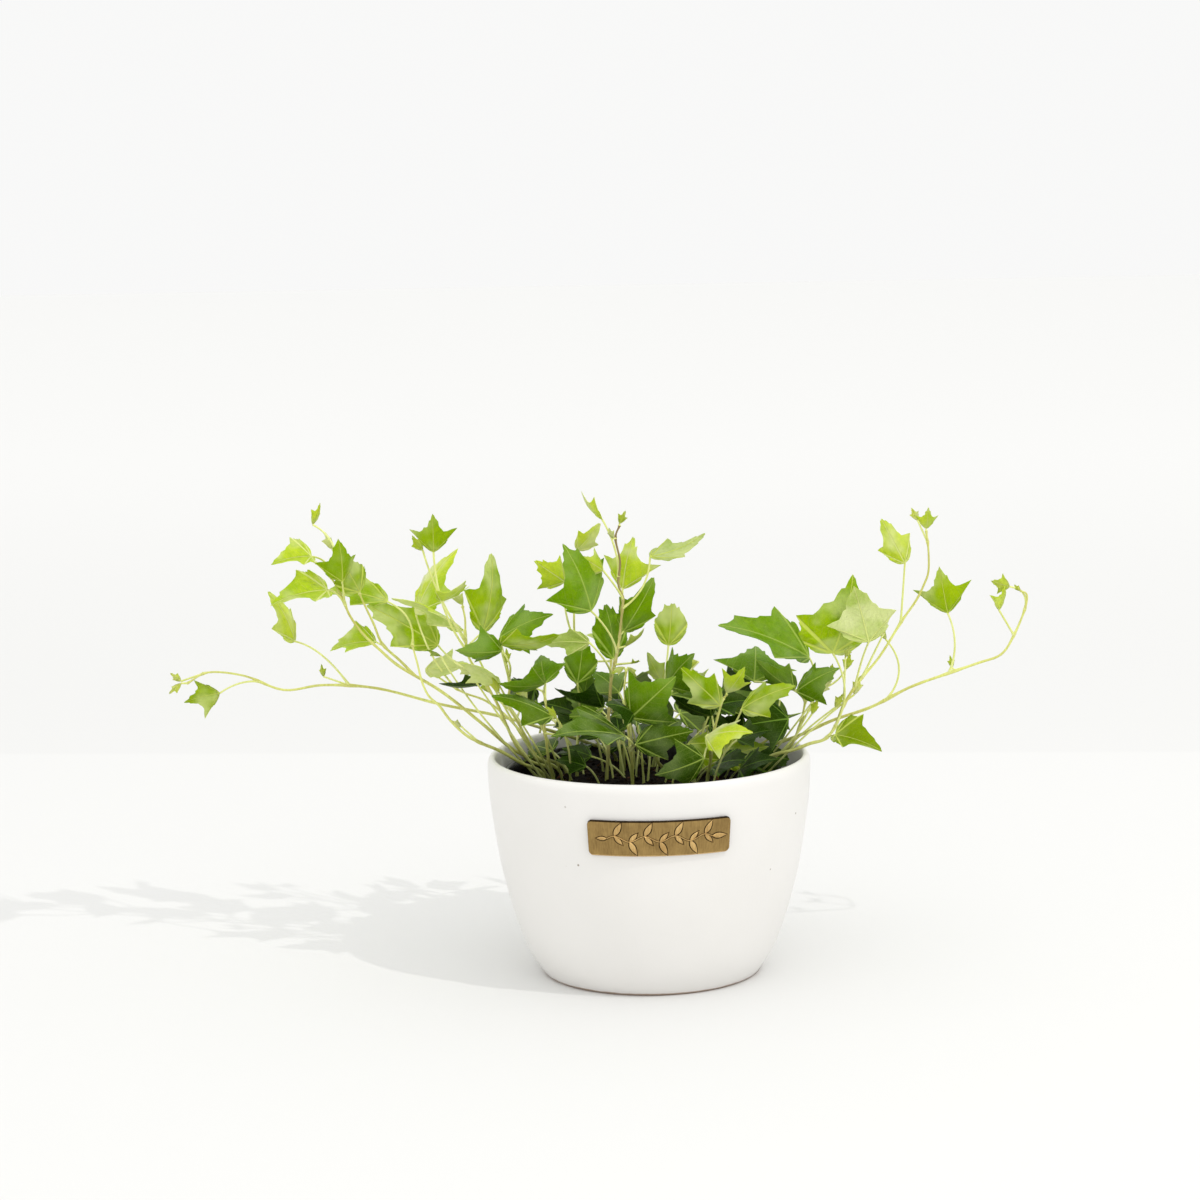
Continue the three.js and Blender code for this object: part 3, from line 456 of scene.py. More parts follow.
# Upper face, vein and underside colours of each age, as they look in even light.
LEAF_COLOURS = {
    "y": ((240, 247, 104), (246, 249, 180), (236, 242, 158)),
    "l": ((228, 243, 66), (242, 248, 166), (232, 240, 164)),
    "g": ((176, 206, 10), (218, 230, 110), (208, 221, 150)),
    "m": ((126, 168, 0), (178, 204, 92), (188, 208, 128)),
    "d": ((34, 66, 0), (116, 152, 56), (148, 170, 94)),
}
# Painted shade on the stems low in the pot: the colour that they darken to where they leave the soil, and
# the height in metres above which a stem is woody.
STEM_PAINTED_SHADE = (88, 102, 28)
WOODY_HEIGHT = 0.186
# How a leaf's darker patches tint its colour: a part for each channel.
LEAF_SHADE = (0.62, 0.76, 0.3, 1)
# The tint of what a leaf mirrors.
GLOSS_TINT = (1.0, 1.0, 0.1, 1)
# Painted sheen: how strongly pale patches that stand in for highlights show on the leaves of each age,
# and the colour that they tend to.
PAINTED_SHEEN = {"y": 0.95, "l": 0.9, "g": 0.75, "m": 0.2, "d": 0.08}
PAINTED_SHEEN_COLOUR = (238, 243, 214)
# Painted shade low in the foliage: how far leaves of each age turn to a dark green, going down from the
# first height in metres to the other.
PAINTED_SHADE_GREEN = (26, 60, 2)
PAINTED_SHADE_SHARE = {"y": 0.0, "l": 0.0, "g": 0.35, "m": 0.82, "d": 0.4}
PAINTED_SHADE_HEIGHTS = (0.155, 0.112)
# Share of the light that a blade lets through.
LIGHT_THROUGH = {"y": 0.34, "l": 0.32, "g": 0.28, "m": 0.22, "d": 0.14}

# Long, thin inner shoots with a young leaf each: [root [x, y], foot, tip, roll, age, bow], where foot,
# tip, roll and bow are as in VINES.
LONG_SHOOTS = [
    [[-48, 2], [-83, 143, -12], [-90, 147, -14], 60, "l", [-2, 3, 0]],
    [[-44, 4], [-70, 134, -24], [-73, 142, -26], 20, "y", [1, 2, -2]],
    [[-50, 10], [-97, 152, 8], [-104, 155, 8], 60, "g", [-4, 1, 0]],
    [[-40, 0], [-57, 130, -22], [-61, 138, -24], 10, "y", [2, 0, -2]],
    [[-38, -8], [-43, 121, -30], [-48, 127, -34], 30, "l", [3, 1, 0]],
    [[-46, 12], [-79, 150, -14], [-83, 158, -16], 30, "l", [-1, 0, -3]],
    [[48, 8], [84, 136, -2], [87, 145, -4], 0, "y", [0, -1, 0]],
    [[46, 0], [77, 121, -12], [80, 128, -12], 10, "l", [2, 0, 0]],
    [[50, -4], [97, 130, -6], [100, 139, -6], -10, "y", [0, 2, 0]],
    [[50, 6], [88, 124, 8], [92, 131, 8], 10, "y", [0, 2, 0]],
]


def seen(point):
    """The real place, in metres, of a point that is read off the front view."""
    x, z, y = point
    reach = 1 + y / EYE["distance"]
    return Vector((EYE["x"] + (x - EYE["x"]) * reach, y, EYE["z"] + (z - EYE["z"]) * reach)) * MM


def linear(rgb):
    """A colour as it looks on a screen, 0 to 255, as the linear colour that a shader takes."""
    def channel(value):
        value /= 255
        return value / 12.92 if value <= 0.04045 else ((value + 0.055) / 1.055) ** 2.4
    return (*(channel(value) for value in rgb), 1)


def lerp(a, b, t):
    return a + (b - a) * t


# Materials --------------------------------------------------------------------------------------


class Nodes:
    """Short calls for a tree's nodes. An input is a constant or another node's output."""

    def __init__(self, tree):
        self.tree = tree

    def node(self, kind, inputs=None, **settings):
        made = self.tree.nodes.new("ShaderNode" + kind)
        for key, value in settings.items():
            setattr(made, key, value)
        for key, value in (inputs or {}).items():
            self.feed(made.inputs[key], value)
        return made

    def feed(self, socket, value):
        if isinstance(value, bpy.types.NodeSocket):
            self.tree.links.new(value, socket)
        else:
            socket.default_value = value

    def math(self, operation, *values):
        return self.node("Math", dict(enumerate(values)), operation=operation).outputs[0]

    def times(self, value, factor):
        return self.math("MULTIPLY", value, factor)

    def scaled(self, value, factor, more):
        """value * factor + more."""
        return self.math("MULTIPLY_ADD", value, factor, more)

    def parts(self, vector):
        """The X, Y and Z of a vector."""
        return self.node("SeparateXYZ", {"Vector": vector}).outputs

    def ramp(self, value, low, high, start=0.0, end=1.0):
        """From start at low to end at high, smooth between and level outside. low may be above high."""
        inputs = {"Value": value, "From Min": low, "From Max": high, "To Min": start, "To Max": end}
        return self.node("MapRange", inputs, interpolation_type="SMOOTHSTEP").outputs[0]


class Shader(Nodes):
    """A material's nodes."""

    def __init__(self, name):
        self.material = bpy.data.materials.new(name)
        self.material.use_nodes = True
        super().__init__(self.material.node_tree)
        self.tree.nodes.clear()

    def mix(self, share, first, second):
        made = self.node("Mix", {"Factor": share}, data_type="RGBA")
        colours = [socket for socket in made.inputs if socket.type == "RGBA"]
        self.feed(colours[0], first)
        self.feed(colours[1], second)
        return [socket for socket in made.outputs if socket.type == "RGBA"][0]

    def places(self, scale=(1, 1, 1)):
        """Places in the object's own frame, in metres, times scale."""
        coordinates = self.node("TexCoord").outputs["Object"]
        return self.node("Mapping", {"Vector": coordinates, "Scale": scale}).outputs[0]

    def noise(self, vector, scale, detail=2.0, rough=0.5):
        inputs = {"Vector": vector, "Scale": scale, "Detail": detail, "Roughness": rough}
        return self.node("TexNoise", inputs).outputs["Fac"]

    def bump(self, height, distance, strength=1.0):
        inputs = {"Height": height, "Distance": distance, "Strength": strength}
        return self.node("Bump", inputs).outputs[0]

    def finish(self, inputs, through=None, share=0.0):
        """Gives the material a principled surface. A share of it may let light through, in a colour."""
        surface = self.node("BsdfPrincipled", inputs).outputs[0]
        if through is not None:
            glow = self.node("BsdfTranslucent", {"Color": through}).outputs[0]
            surface = self.node("MixShader", {0: share, 1: surface, 2: glow}).outputs[0]
        self.node("OutputMaterial", {"Surface": surface})
        return self.material


def glaze_material():
    """Satin white glaze with a few iron specks and a bare, brownish line where it meets the foot."""
    s = Shader("white_glaze")
    places = s.places()
    height = s.parts(places)["Z"]
    cloud = s.noise(places, 28.0, 4.0)
    white = s.mix(cloud, linear((229, 227, 223)), linear((235, 233, 230)))
    cells = s.node("TexVoronoi", {"Vector": places, "Scale": 62.0, "Randomness": 1.0})
    chosen = s.ramp(s.noise(places, 90.0), 0.46, 0.5)
    speck = s.times(s.ramp(cells.outputs["Distance"], 0.044, 0.024), chosen)
    specked = s.mix(s.times(speck, 0.75), white, linear((120, 98, 74)))
    wobble = s.scaled(s.noise(places, 160.0, 3.0), 0.0009, 0.0006)
    foot = s.ramp(s.math("SUBTRACT", height, wobble), 0.0004, -0.0002)
    colour = s.mix(s.times(foot, 0.8), specked, linear((146, 112, 80)))
    fine = s.noise(places, 900.0, 2.0)
    rough = s.scaled(fine, 0.14, 0.36)
    relief = s.scaled(cloud, 6.0, fine)
    return s.finish({
        "Base Color": colour, "Roughness": rough, "Normal": s.bump(relief, 0.00003),
        "Coat Weight": 0.25, "Coat Roughness": 0.22,
    })


def brass_material(name, light, dark, roughness):
    """Brushed, aged brass: streaks that run up the plate, and darker patches."""
    s = Shader(name)
    streaks = s.noise(s.places((1600, 1600, 40)), 1.0, 3.0, 0.7)
    patches = s.noise(s.places(), 120.0, 4.0, 0.6)
    tone = s.scaled(patches, 0.5, s.times(streaks, 0.5))
    colour = s.mix(s.ramp(tone, 0.3, 0.7), linear(dark), linear(light))
    rough = s.scaled(streaks, 0.2, roughness)
    return s.finish({
        "Base Color": colour, "Metallic": 1.0, "Roughness": rough, "Normal": s.bump(streaks, 0.00002),
    })


def black_plastic_material():
    """The nursery pot: moulded black plastic with dust and fine scratches."""
    s = Shader("black_plastic")
    places = s.places()
    dust = s.ramp(s.noise(places, 240.0, 5.0, 0.7), 0.5, 0.8)
    scratches = s.noise(s.places((300, 300, 1500)), 1.0, 2.0)
    colour = s.mix(s.times(dust, 0.5), linear((20, 19, 17)), linear((62, 52, 42)))
    return s.finish({
        "Base Color": colour, "Roughness": s.scaled(scratches, 0.2, 0.1),
        "Normal": s.bump(scratches, 0.00003),
    })


def soil_material(name, dark, light):
    s = Shader(name)
    places = s.places()
    grains = s.noise(places, 420.0, 6.0, 0.75)
    colour = s.mix(s.ramp(grains, 0.35, 0.7), linear(dark), linear(light))
    lumps = s.scaled(s.noise(places, 1500.0, 3.0), 0.4, grains)
    return s.finish({
        "Base Color": colour, "Roughness": 0.95, "Specular IOR Level": 0.1,
        "Normal": s.bump(lumps, 0.0009),
    })


def stem_material(name, light, dark, aged=None):
    """Stems and stalks: greenish, with painted shade that darkens them towards the soil, streaks along
    them and a slight gloss.
    With aged, a colour, they turn to it above WOODY_HEIGHT."""
    s = Shader(name)
    places = s.places()
    height = s.parts(places)["Z"]
    streaks = s.noise(s.places((900, 900, 160)), 1.0, 3.0, 0.6)
    patches = s.noise(places, 45.0, 3.0)
    tone = s.scaled(patches, 0.7, s.times(streaks, 0.35))
    above = s.mix(s.ramp(tone, 0.35, 0.7), linear(light), linear(dark))
    if aged:
        above = s.mix(s.ramp(height, WOODY_HEIGHT - 0.008, WOODY_HEIGHT + 0.008), above, linear(aged))
    # Painted shade: below the rim the stems darken towards the soil.
    colour = s.mix(s.times(s.ramp(height, 0.122, 0.09), 0.75), above, linear(STEM_PAINTED_SHADE))
    return s.finish({
        "Base Color": colour, "Roughness": 0.48, "Normal": s.bump(streaks, 0.00008),
        "Subsurface Weight": 0.15, "Subsurface Radius": (0.0012, 0.0014, 0.0005), "Subsurface Scale": 0.6,
    })


# Main veins on a blade of the outline "wide", whose UVs the other outlines share: the angle at which
# each leaves the stalk, in degrees from the midrib, and its width as a share of the midrib's.
# UV_SPREAD fits half a blade into a UV.
VEINS = ((0, 1.0), (50.5, 0.8), (66, 0.5))
UV_SPREAD = 0.75
SIDE_VEIN_STEP = 0.115
VEIN_WIDTH = 0.016


def vein_nodes(s):
    """Nodes for a blade's veins. Gives how strongly a place shows main veins, and fine ones."""
    uv = s.node("UVMap", uv_map="leaf").outputs[0]
    parts = s.parts(uv)
    across = s.math("DIVIDE", s.math("ABSOLUTE", s.math("SUBTRACT", parts["X"], 0.5)), UV_SPREAD)
    along = parts["Y"]
    reach = s.math("ADD", along, across)
    width = s.scaled(reach, -0.6 * VEIN_WIDTH, VEIN_WIDTH)
    main, side, nearest = 0.0, 0.0, 1.0
    for angle, thick in VEINS:
        cosine, sine = math.cos(math.radians(angle)), math.sin(math.radians(angle))
        ahead = s.scaled(across, sine, s.times(along, cosine))
        off = s.math("ABSOLUTE", s.scaled(across, cosine, s.times(along, -sine)))
        shown = s.ramp(s.math("DIVIDE", off, width), 1.6 * thick, 0.5 * thick)
        place = s.math("DIVIDE", s.scaled(off, -0.8, ahead), SIDE_VEIN_STEP)
        wave = s.math("ABSOLUTE", s.math("SUBTRACT", s.math("FRACT", place), 0.5))
        branches = s.ramp(wave, 0.06, 0.015)
        main = s.math("MAXIMUM", main, shown)
        closer = s.math("LESS_THAN", off, nearest)
        side = s.scaled(closer, s.math("SUBTRACT", branches, side), side)
        nearest = s.math("MINIMUM", nearest, off)
    side = s.times(side, s.ramp(nearest, 0.24, 0.1))
    cells = s.node("TexVoronoi", {"Vector": uv, "Scale": 26.0}, feature="DISTANCE_TO_EDGE")
    net = s.ramp(cells.outputs["Distance"], 0.07, 0.02)
    return main, s.math("MAXIMUM", s.times(side, 0.7), s.times(net, 0.35))


def leaf_material(age, under):
    """One face of the leaves of an age: paler veins, mottling, painted sheen in pale patches, painted
    shade low in the foliage, and light that shines through.
    """
    upper_colour, vein_colour, under_colour = (linear(colour) for colour in LEAF_COLOURS[age])
    s = Shader(f"ivy_{age}_{'under' if under else 'upper'}")
    main, fine = vein_nodes(s)
    places = s.places()
    patches = s.noise(places, 38.0, 3.0)
    mottle = s.noise(places, 500.0, 3.0, 0.6)
    base = under_colour if under else upper_colour
    shade = tuple(channel * part for channel, part in zip(base, LEAF_SHADE))
    tone = s.ramp(s.scaled(mottle, 0.4, s.times(patches, 0.8)), 0.4, 0.8)
    # Painted shade: leaves low in the foliage turn towards a dark green.
    low = s.ramp(s.parts(places)["Z"], *PAINTED_SHADE_HEIGHTS)
    blade = s.mix(s.times(low, PAINTED_SHADE_SHARE[age]), s.mix(tone, base, shade), linear(PAINTED_SHADE_GREEN))
    # Painted sheen: pale patches stand in for highlights on the leaves.
    sheen = s.times(s.ramp(s.noise(places, 64.0, 2.0), 0.42, 0.7), PAINTED_SHEEN[age])
    share = s.math("MAXIMUM", s.times(main, 0.85), s.times(fine, 0.42))
    sheened = s.mix(sheen, blade, s.mix(0.4, vein_colour, linear(PAINTED_SHEEN_COLOUR)))
    colour = s.mix(share, sheened, vein_colour)
    lift = s.math("MAXIMUM", main, s.times(fine, 0.7))
    height = s.scaled(mottle, 0.2, s.times(lift, 0.8 if under else -0.8))
    gloss = s.scaled(patches, 0.3, 0.14)
    return s.finish({
        "Base Color": colour, "Roughness": 0.62 if under else gloss, "Normal": s.bump(height, 0.0004),
        "Specular IOR Level": 0.1 if under else 0.16, "Specular Tint": GLOSS_TINT,
    }, s.mix(0.1, colour, vein_colour), LIGHT_THROUGH[age])


# Meshes -----------------------------------------------------------------------------------------


def placed(name, data):
    """A new object in the scene."""
    made = bpy.data.objects.new(name, data)
    bpy.context.scene.collection.objects.link(made)
    return made


class Builder:
    """Collects the points, faces, material slots and leaf UVs of one piece."""

    def __init__(self):
        self.points, self.faces, self.slots, self.uvs = [], [], [], []

    def add(self, points, faces, slots, uvs=None):
        start = len(self.points)
        self.points += points
        self.faces += [tuple(start + i for i in face) for face in faces]
        self.slots += slots if isinstance(slots, list) else [slots] * len(faces)
        self.uvs += uvs or [(0.5, 0.5)] * len(points)

    def piece(self, name, materials, slot, node=None, crease=40):
        """Makes the piece. It rides on the object and may replace a node. slot is not used."""
        mesh = bpy.data.meshes.new(name)
        mesh.from_pydata(self.points, [], self.faces)
        for material in materials:
            mesh.materials.append(material)
        mesh.polygons.foreach_set("material_index", self.slots)
        layer = mesh.uv_layers.new(name="leaf")
        for loop in mesh.loops:
            layer.data[loop.index].uv = self.uvs[loop.vertex_index]
        mesh.shade_smooth()
        mesh.set_sharp_from_angle(angle=math.radians(crease))
        mesh.validate()
        made = placed(name, mesh)
        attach(made, "root")
        if node:
            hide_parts(node)
        return made


def ring_faces(rings, sides):
    """Faces between closed rings whose points are numbered in order."""
    faces = []
    for i in range(rings - 1):
        for j in range(sides):
            a, b = i * sides + j, i * sides + (j + 1) % sides
            faces.append((a, b, b + sides, a + sides))
    return faces


def turned(profile, segments, shape=None):
    """Points and faces of a closed profile of [radius, height], in mm, turned about the Z axis.
    The profile starts and ends on the axis. shape may move each point."""
    points = [Vector((0, 0, profile[0][1]))]
    for radius, height in profile[1:-1]:
        for j in range(segments):
            angle = 2 * math.pi * j / segments
            points.append(Vector((radius * math.cos(angle), radius * math.sin(angle), height)))
    points.append(Vector((0, 0, profile[-1][1])))
    rings = len(profile) - 2
    faces = [tuple(1 + i for i in face) for face in ring_faces(rings, segments)]
    last = 1 + (rings - 1) * segments
    for j in range(segments):
        k = (j + 1) % segments
        faces.append((0, 1 + k, 1 + j))
        faces.append((len(points) - 1, last + j, last + k))
    return [shape(point) * MM if shape else point * MM for point in points], faces


def curve_point(points, place):
    """A point on the smooth curve through points, at a place such as 2.5, halfway from [2] to [3]."""
    i = min(int(place), len(points) - 2)
    t = place - i
    b, c = points[i], points[i + 1]
    a = points[i - 1] if i else b * 2 - c
    d = points[i + 2] if i + 2 < len(points) else c * 2 - b
    return 0.5 * (2 * b + (c - a) * t + (2 * a - 5 * b + 4 * c - d) * t * t
                  + (3 * b - 3 * c + d - a) * t ** 3)


def smooth_curve(points, steps):
    """The curve through points, with its own points at equal shares of each stretch."""
    count = (len(points) - 1) * steps
    return [curve_point(points, i / steps) for i in range(count + 1)]


def rounded_profile(points, steps):
    """A smooth line through [radius, height] pairs."""
    return [tuple(p[:2]) for p in smooth_curve([Vector((*p, 0)) for p in points], steps)]


def tube(points, radii, sides):
    """Points and faces of a closed tube round a line of points."""
    side = Vector((0.37, 0.61, 0.7))
    ring_points = []
    for i, point in enumerate(points):
        tangent = (points[min(i + 1, len(points) - 1)] - points[max(i - 1, 0)]).normalized()
        side = (side - tangent * side.dot(tangent)).normalized()
        other = tangent.cross(side)
        for j in range(sides):
            angle = 2 * math.pi * j / sides
            ring_points.append(point + (side * math.cos(angle) + other * math.sin(angle)) * radii[i])
    faces = ring_faces(len(points), sides)
    last = (len(points) - 1) * sides
    faces.append(tuple(reversed(range(sides))))
    faces.append(tuple(range(last, last + sides)))
    return ring_points, faces


# Planter, plate, nursery pot and soil ---------------------------------------------------------------


def make_planter():
    """The planter: its outside turned smooth, with a soft shoulder at the rim and a round inside."""
    outside = POT_OUTSIDE[:2] + rounded_profile(POT_OUTSIDE[1:8], 4)[1:]
    shoulder = POT_OUTSIDE[7]
    inner = shoulder[0] - POT_WALL
    rim_top = POT_OUTSIDE[-1][1]
    rim = [[75.95, 100.6], [75.6, 102.2], [74.9, 103.4], [73.9, rim_top], [73.1, rim_top - 0.1],
           [inner + 0.5, rim_top - 0.9], [inner + 0.1, rim_top - 2.2]]
    side = reversed(rounded_profile(POT_OUTSIDE[2:8], 3))
    inside = [[radius - POT_WALL, height] for radius, height in side]
    floor = [[52, 8.4], [49.5, 6.2], [46, POT_FLOOR], [0, POT_FLOOR]]
    builder = Builder()
    points, faces = turned([[0, 0], *outside, *rim, *inside, *floor], POT_SEGMENTS)
    builder.add(points, faces, 0)
    builder.piece("planter_glazed", [glaze_material()], "glazed_ceramic", "pot", crease=60)


def pot_radius_at(height):
    """The planter's outer radius at a height, in mm."""
    for (r0, z0), (r1, z1) in zip(POT_OUTSIDE, POT_OUTSIDE[1:]):
        if z0 <= height <= z1:
            return lerp(r0, r1, (height - z0) / (z1 - z0))
    return POT_OUTSIDE[-1][0]


def on_plate(across, height, stand):
    """A place on the planter's side: across from the plate's middle and up from the foot, in mm,
    standing off the side by stand."""
    middle_radius = pot_radius_at((PLATE["bottom"] + PLATE["top"]) / 2)
    angle = math.radians(PLATE["middle"]) + across / middle_radius
    radius = pot_radius_at(height) + stand
    return Vector((radius * math.sin(angle), -radius * math.cos(angle), height)) * MM


def plate_columns():
    """The plate's columns from left to right: [across, how far its ends are cut, how far it is
    bevelled]. The cuts round the corners."""
    half, corner, bevel = PLATE["width"] / 2, PLATE["corner"], PLATE_BEVEL
    steps = 6
    columns = [(-half, corner, bevel)]
    for i in range(steps + 1):
        turn = math.radians(8 + 82 * i / steps)
        columns.append((-half + corner * (1 - math.cos(turn)), corner * (1 - math.sin(turn)), 0))
    for i in range(1, 60):
        columns.append((lerp(corner - half, half - corner, i / 60), 0, 0))
    return columns + [(-across, cut, bevelled) for across, cut, bevelled in reversed(columns[:steps + 2])]


def make_plate():
    """The brass plate: a bent strip with a bevelled edge, dark above and bright below, where a reflection
    of the glaze is painted, and a raised sprig of leaves."""
    builder = Builder()
    low, high = PLATE["bottom"], PLATE["top"]
    back = 2 * GAP
    front = back + PLATE["thickness"]
    rows = 8
    points = []
    for across, cut, bevelled in plate_columns():
        bottom, top = low + cut, high - cut
        face = [(lerp(bottom + PLATE_BEVEL, top - PLATE_BEVEL, i / rows), front - bevelled)
                for i in range(rows + 1)]
        section = [(bottom, back), (bottom, front - PLATE_BEVEL), *face, (top, front - PLATE_BEVEL),
                   (top, back)]
        points += [on_plate(across, height, stand) for height, stand in section]
    sides = rows + 5
    columns = len(points) // sides
    faces = ring_faces(columns, sides)
    # The bottom edge and its bevel take the bright raised brass as a painted reflection of the glaze; the
    # top edge, the top bevel, the back and the ends take the dark brass.
    row_slots = [2, 2] + [0] * rows + [1] * 3
    slots = [row_slots[i % sides] for i in range(len(faces))]
    ends = [tuple(reversed(range(sides))), tuple(range((columns - 1) * sides, columns * sides))]
    builder.add(points, faces + ends, slots + [1, 1])
    add_sprig(builder, (low + high) / 2, front)
    brass = brass_material("brass_brushed", (174, 145, 91), (132, 107, 65), 0.34)
    edge = brass_material("brass_dark", (66, 50, 30), (34, 26, 18), 0.5)
    # Bright brass for the raised sprig, and a painted reflection on the plate's bottom edge.
    raised = brass_material("brass_raised_and_painted_reflection", (222, 188, 126), (176, 140, 86), 0.28)
    builder.piece("plate_brass", [brass, edge, raised], "brass", "plate", crease=35)


def add_sprig(builder, height, stand):
    """A raised sprig along the plate: a waved stem with a leaf at each side of every bend."""
    half = SPRIG["width"] / 2
    count = SPRIG["bends"]

    def on_stem(t):
        wave = SPRIG["wave"] * math.sin(math.pi * count * t)
        return Vector((lerp(-half, half, t), height + wave, 0))

    line = [on_stem(i / 120) for i in range(121)]
    for wider, sunk, slot in ((0, 0, 2), (SPRIG["outline"], SPRIG["sunk"], 1)):
        places = [on_plate(p.x, p.y, stand - sunk) for p in line]
        points, faces = tube(places, [(SPRIG["stem"] + wider) * MM] * len(line), 6)
        builder.add(points, faces, slot)
    for i in range(count):
        t = (i + 0.5) / count
        foot = on_stem(t)
        way = 1 if i % 2 == 0 else -1
        for turn, size in SPRIG_TURNS:
            angle = math.radians(turn * way)
            add_sprig_leaf(builder, foot, angle, SPRIG["leaf"] * size, stand)
    add_sprig_leaf(builder, on_stem(1), 0, SPRIG["leaf"], stand)
    add_sprig_leaf(builder, on_stem(0), math.pi, SPRIG["leaf"] * 0.7, stand)


def add_sprig_leaf(builder, foot, angle, length, stand):
    """One almond-shaped leaf of the sprig, raised along its middle and sunk at its edge, on a lower
    and larger dark one."""
    along = Vector((math.cos(angle), math.sin(angle), 0))
    aside = Vector((-along.y, along.x, 0))
    steps = 10
    for spread, height, slot in ((0, 1, 2), (SPRIG["outline"], 0.3, 1)):
        points, faces = [], []
        for i in range(steps + 1):
            t = i / steps
            width = (0.22 * length + spread) * math.sin(math.pi * t ** 0.8)
            for share, rise in ((-1, -0.15), (-0.55, 0.22), (0, 0.4), (0.55, 0.22), (1, -0.15)):
                place = foot + along * (t * (length + 2 * spread) - spread) + aside * share * width
                points.append(on_plate(place.x, place.y, stand + rise * height))
        for i in range(steps):
            for j in range(4):
                a = i * 5 + j
                faces.append((a, a + 5, a + 6, a + 1))
            faces.append((i * 5 + 4, i * 5 + 9, i * 5 + 5, i * 5))
        builder.add(points, faces, slot)


def make_nursery_pot():
    """The nursery pot: a thin tapered shell whose rim is rolled outwards."""
    low, top, wall = POT_FLOOR + GAP, LINER["top"], LINER["wall"]
    bottom_radius, top_radius, rim = LINER["bottom_radius"], LINER["top_radius"], LINER["rim_radius"]
    under_rim = top - LINER["rim_height"]
    outside_at_rim = lerp(bottom_radius, top_radius, (under_rim - low) / (top - low))
    profile = [
        [0, low], [bottom_radius - 1.5, low], [bottom_radius, low + 1.2], [outside_at_rim, under_rim],
        [rim - 0.2, under_rim + 0.1], [rim, under_rim + 0.5], [rim, top - 0.9], [rim - 0.35, top - 0.25],
        [rim - 1.0, top], [rim - 1.9, top - 0.15], [top_radius - wall - 0.1, top - 1.1],
        [top_radius - wall - 0.4, top - 4], [bottom_radius - wall, low + wall], [0, low + wall],
    ]
    points, faces = turned(profile, 128, lambda point: point + Vector((LINER["x"], 0, 0)))
    builder = Builder()
    builder.add(points, faces, 0)
    materials = [black_plastic_material()]
    builder.piece("nursery_pot_shell", materials, "black_plastic", "nursery_pot", crease=35)


def soil_radius_at(height):
    """The soil's radius at a height: just inside the nursery pot's wall."""
    inner_floor = POT_FLOOR + GAP + LINER["wall"]
    growth = (LINER["top_radius"] - LINER["bottom_radius"]) / (LINER["top"] - inner_floor)
    return LINER["bottom_radius"] - LINER["wall"] + growth * (height - inner_floor) - 1.5 * GAP


def soil_height_at(x, y):
    """The soil's height at a place, in mm: uneven, and lower at the nursery pot's wall."""
    place = Vector((x, y, 0))
    rough = sum(height * noise.noise(place * often) for height, often in SOIL_WAVES)
    out = math.hypot(x - LINER["x"], y) / soil_radius_at(SOIL_LEVEL)
    return SOIL_LEVEL + rough - 2.2 * max(0.0, out - 0.55) / 0.45


def make_soil(rng):
    """The soil: an uneven heap with crumbs of peat and slivers of bark on it."""
    builder = Builder()
    low, edge = POT_FLOOR + GAP + LINER["wall"] + GAP, SOIL_LEVEL - 2
    rings = 46
    edge_radius = soil_radius_at(edge)
    top = [[edge_radius * (1 - i / rings) ** 0.9, SOIL_LEVEL] for i in range(1, rings)]
    profile = [[0, low], [soil_radius_at(low), low], [edge_radius, edge], *top, [0, SOIL_LEVEL]]

    def heaped(point):
        x = point.x + LINER["x"]
        height = soil_height_at(x, point.y) if point.z > edge + 1 else point.z
        return Vector((x, point.y, height))

    points, faces = turned(profile, 150, heaped)
    builder.add(points, faces, 0)
    for _ in range(CRUMBS):
        out = (edge_radius - 2.5) * math.sqrt(rng.random())
        angle = rng.uniform(0, 2 * math.pi)
        x, y = LINER["x"] + out * math.cos(angle), out * math.sin(angle)
        add_crumb(builder, rng, Vector((x, y, soil_height_at(x, y))))
    materials = [
        soil_material("soil_dark", (13, 10, 7), (30, 23, 17)),
        soil_material("soil_brown", (27, 20, 13), (52, 39, 27)),
        soil_material("soil_bark", (58, 37, 23), (98, 66, 42)),
    ]
    builder.piece("soil_heap", materials, "soil", "soil", crease=30)


def add_crumb(builder, rng, place):
    """One crumb of peat or sliver of bark: a lump with uneven corners, half sunk in the soil."""
    kind = rng.choices((0, 1, 2), (5, 4, 1))[0]
    size = rng.uniform(0.5, 1.7) if kind < 2 else rng.uniform(1.2, 2.8)
    stretch = Vector((1, 1, 0.8)) if kind < 2 else Vector((1, 0.4, 0.22))
    turn = Quaternion([rng.uniform(-limit, limit) for limit in (1, 0.4, 0.4, 1)]).normalized()
    corners = []
    for direction in CRUMB_CORNERS:
        corner = Vector(direction).normalized() * size * rng.uniform(0.75, 1.2)
        corner = turn @ Vector(a * b for a, b in zip(corner, stretch))
        corners.append((place + corner + Vector((0, 0, 0.15 * size))) * MM)
    builder.add(corners, CRUMB_FACES, kind)


# Stems and leaves ---------------------------------------------------------------------------------


def half_outline(name):
    """Points along half a blade's outline, from beside the stalk to the point: for each, its place
    and how far it is from the sharp tips at the ends of its run. Every outline has as many."""
    places = []
    for run in OUTLINES[name]:
        corners = [Vector((*corner, 0)) for corner in run]
        for i in range(EDGE_STEPS):
            place = curve_point(corners, (len(run) - 1) * i / EDGE_STEPS)
            places.append((place.x, place.y, math.sin(math.pi * i / EDGE_STEPS)))
    return places + [(0.0, 1.0, 0.0)]


def waved_outline(name, width, seed):
    """Half an outline, stretched in width, with an uneven edge of its own."""
    waved = []
    for j, (side, along, smooth) in enumerate(half_outline(name)):
        ripple = noise.noise(Vector((seed, j * 0.9, 0))) + 0.7 * noise.noise(Vector((seed, j * 0.31, 5)))
        tooth = max(0.0, 0.4 + noise.noise(Vector((seed, j * 0.7, 9)))) if j % 3 == 1 else 0.0
        out = 1 + (EDGE_RIPPLE * ripple + EDGE_TOOTH * tooth) * smooth
        waved.append((side * width * out, along * out))
    return waved


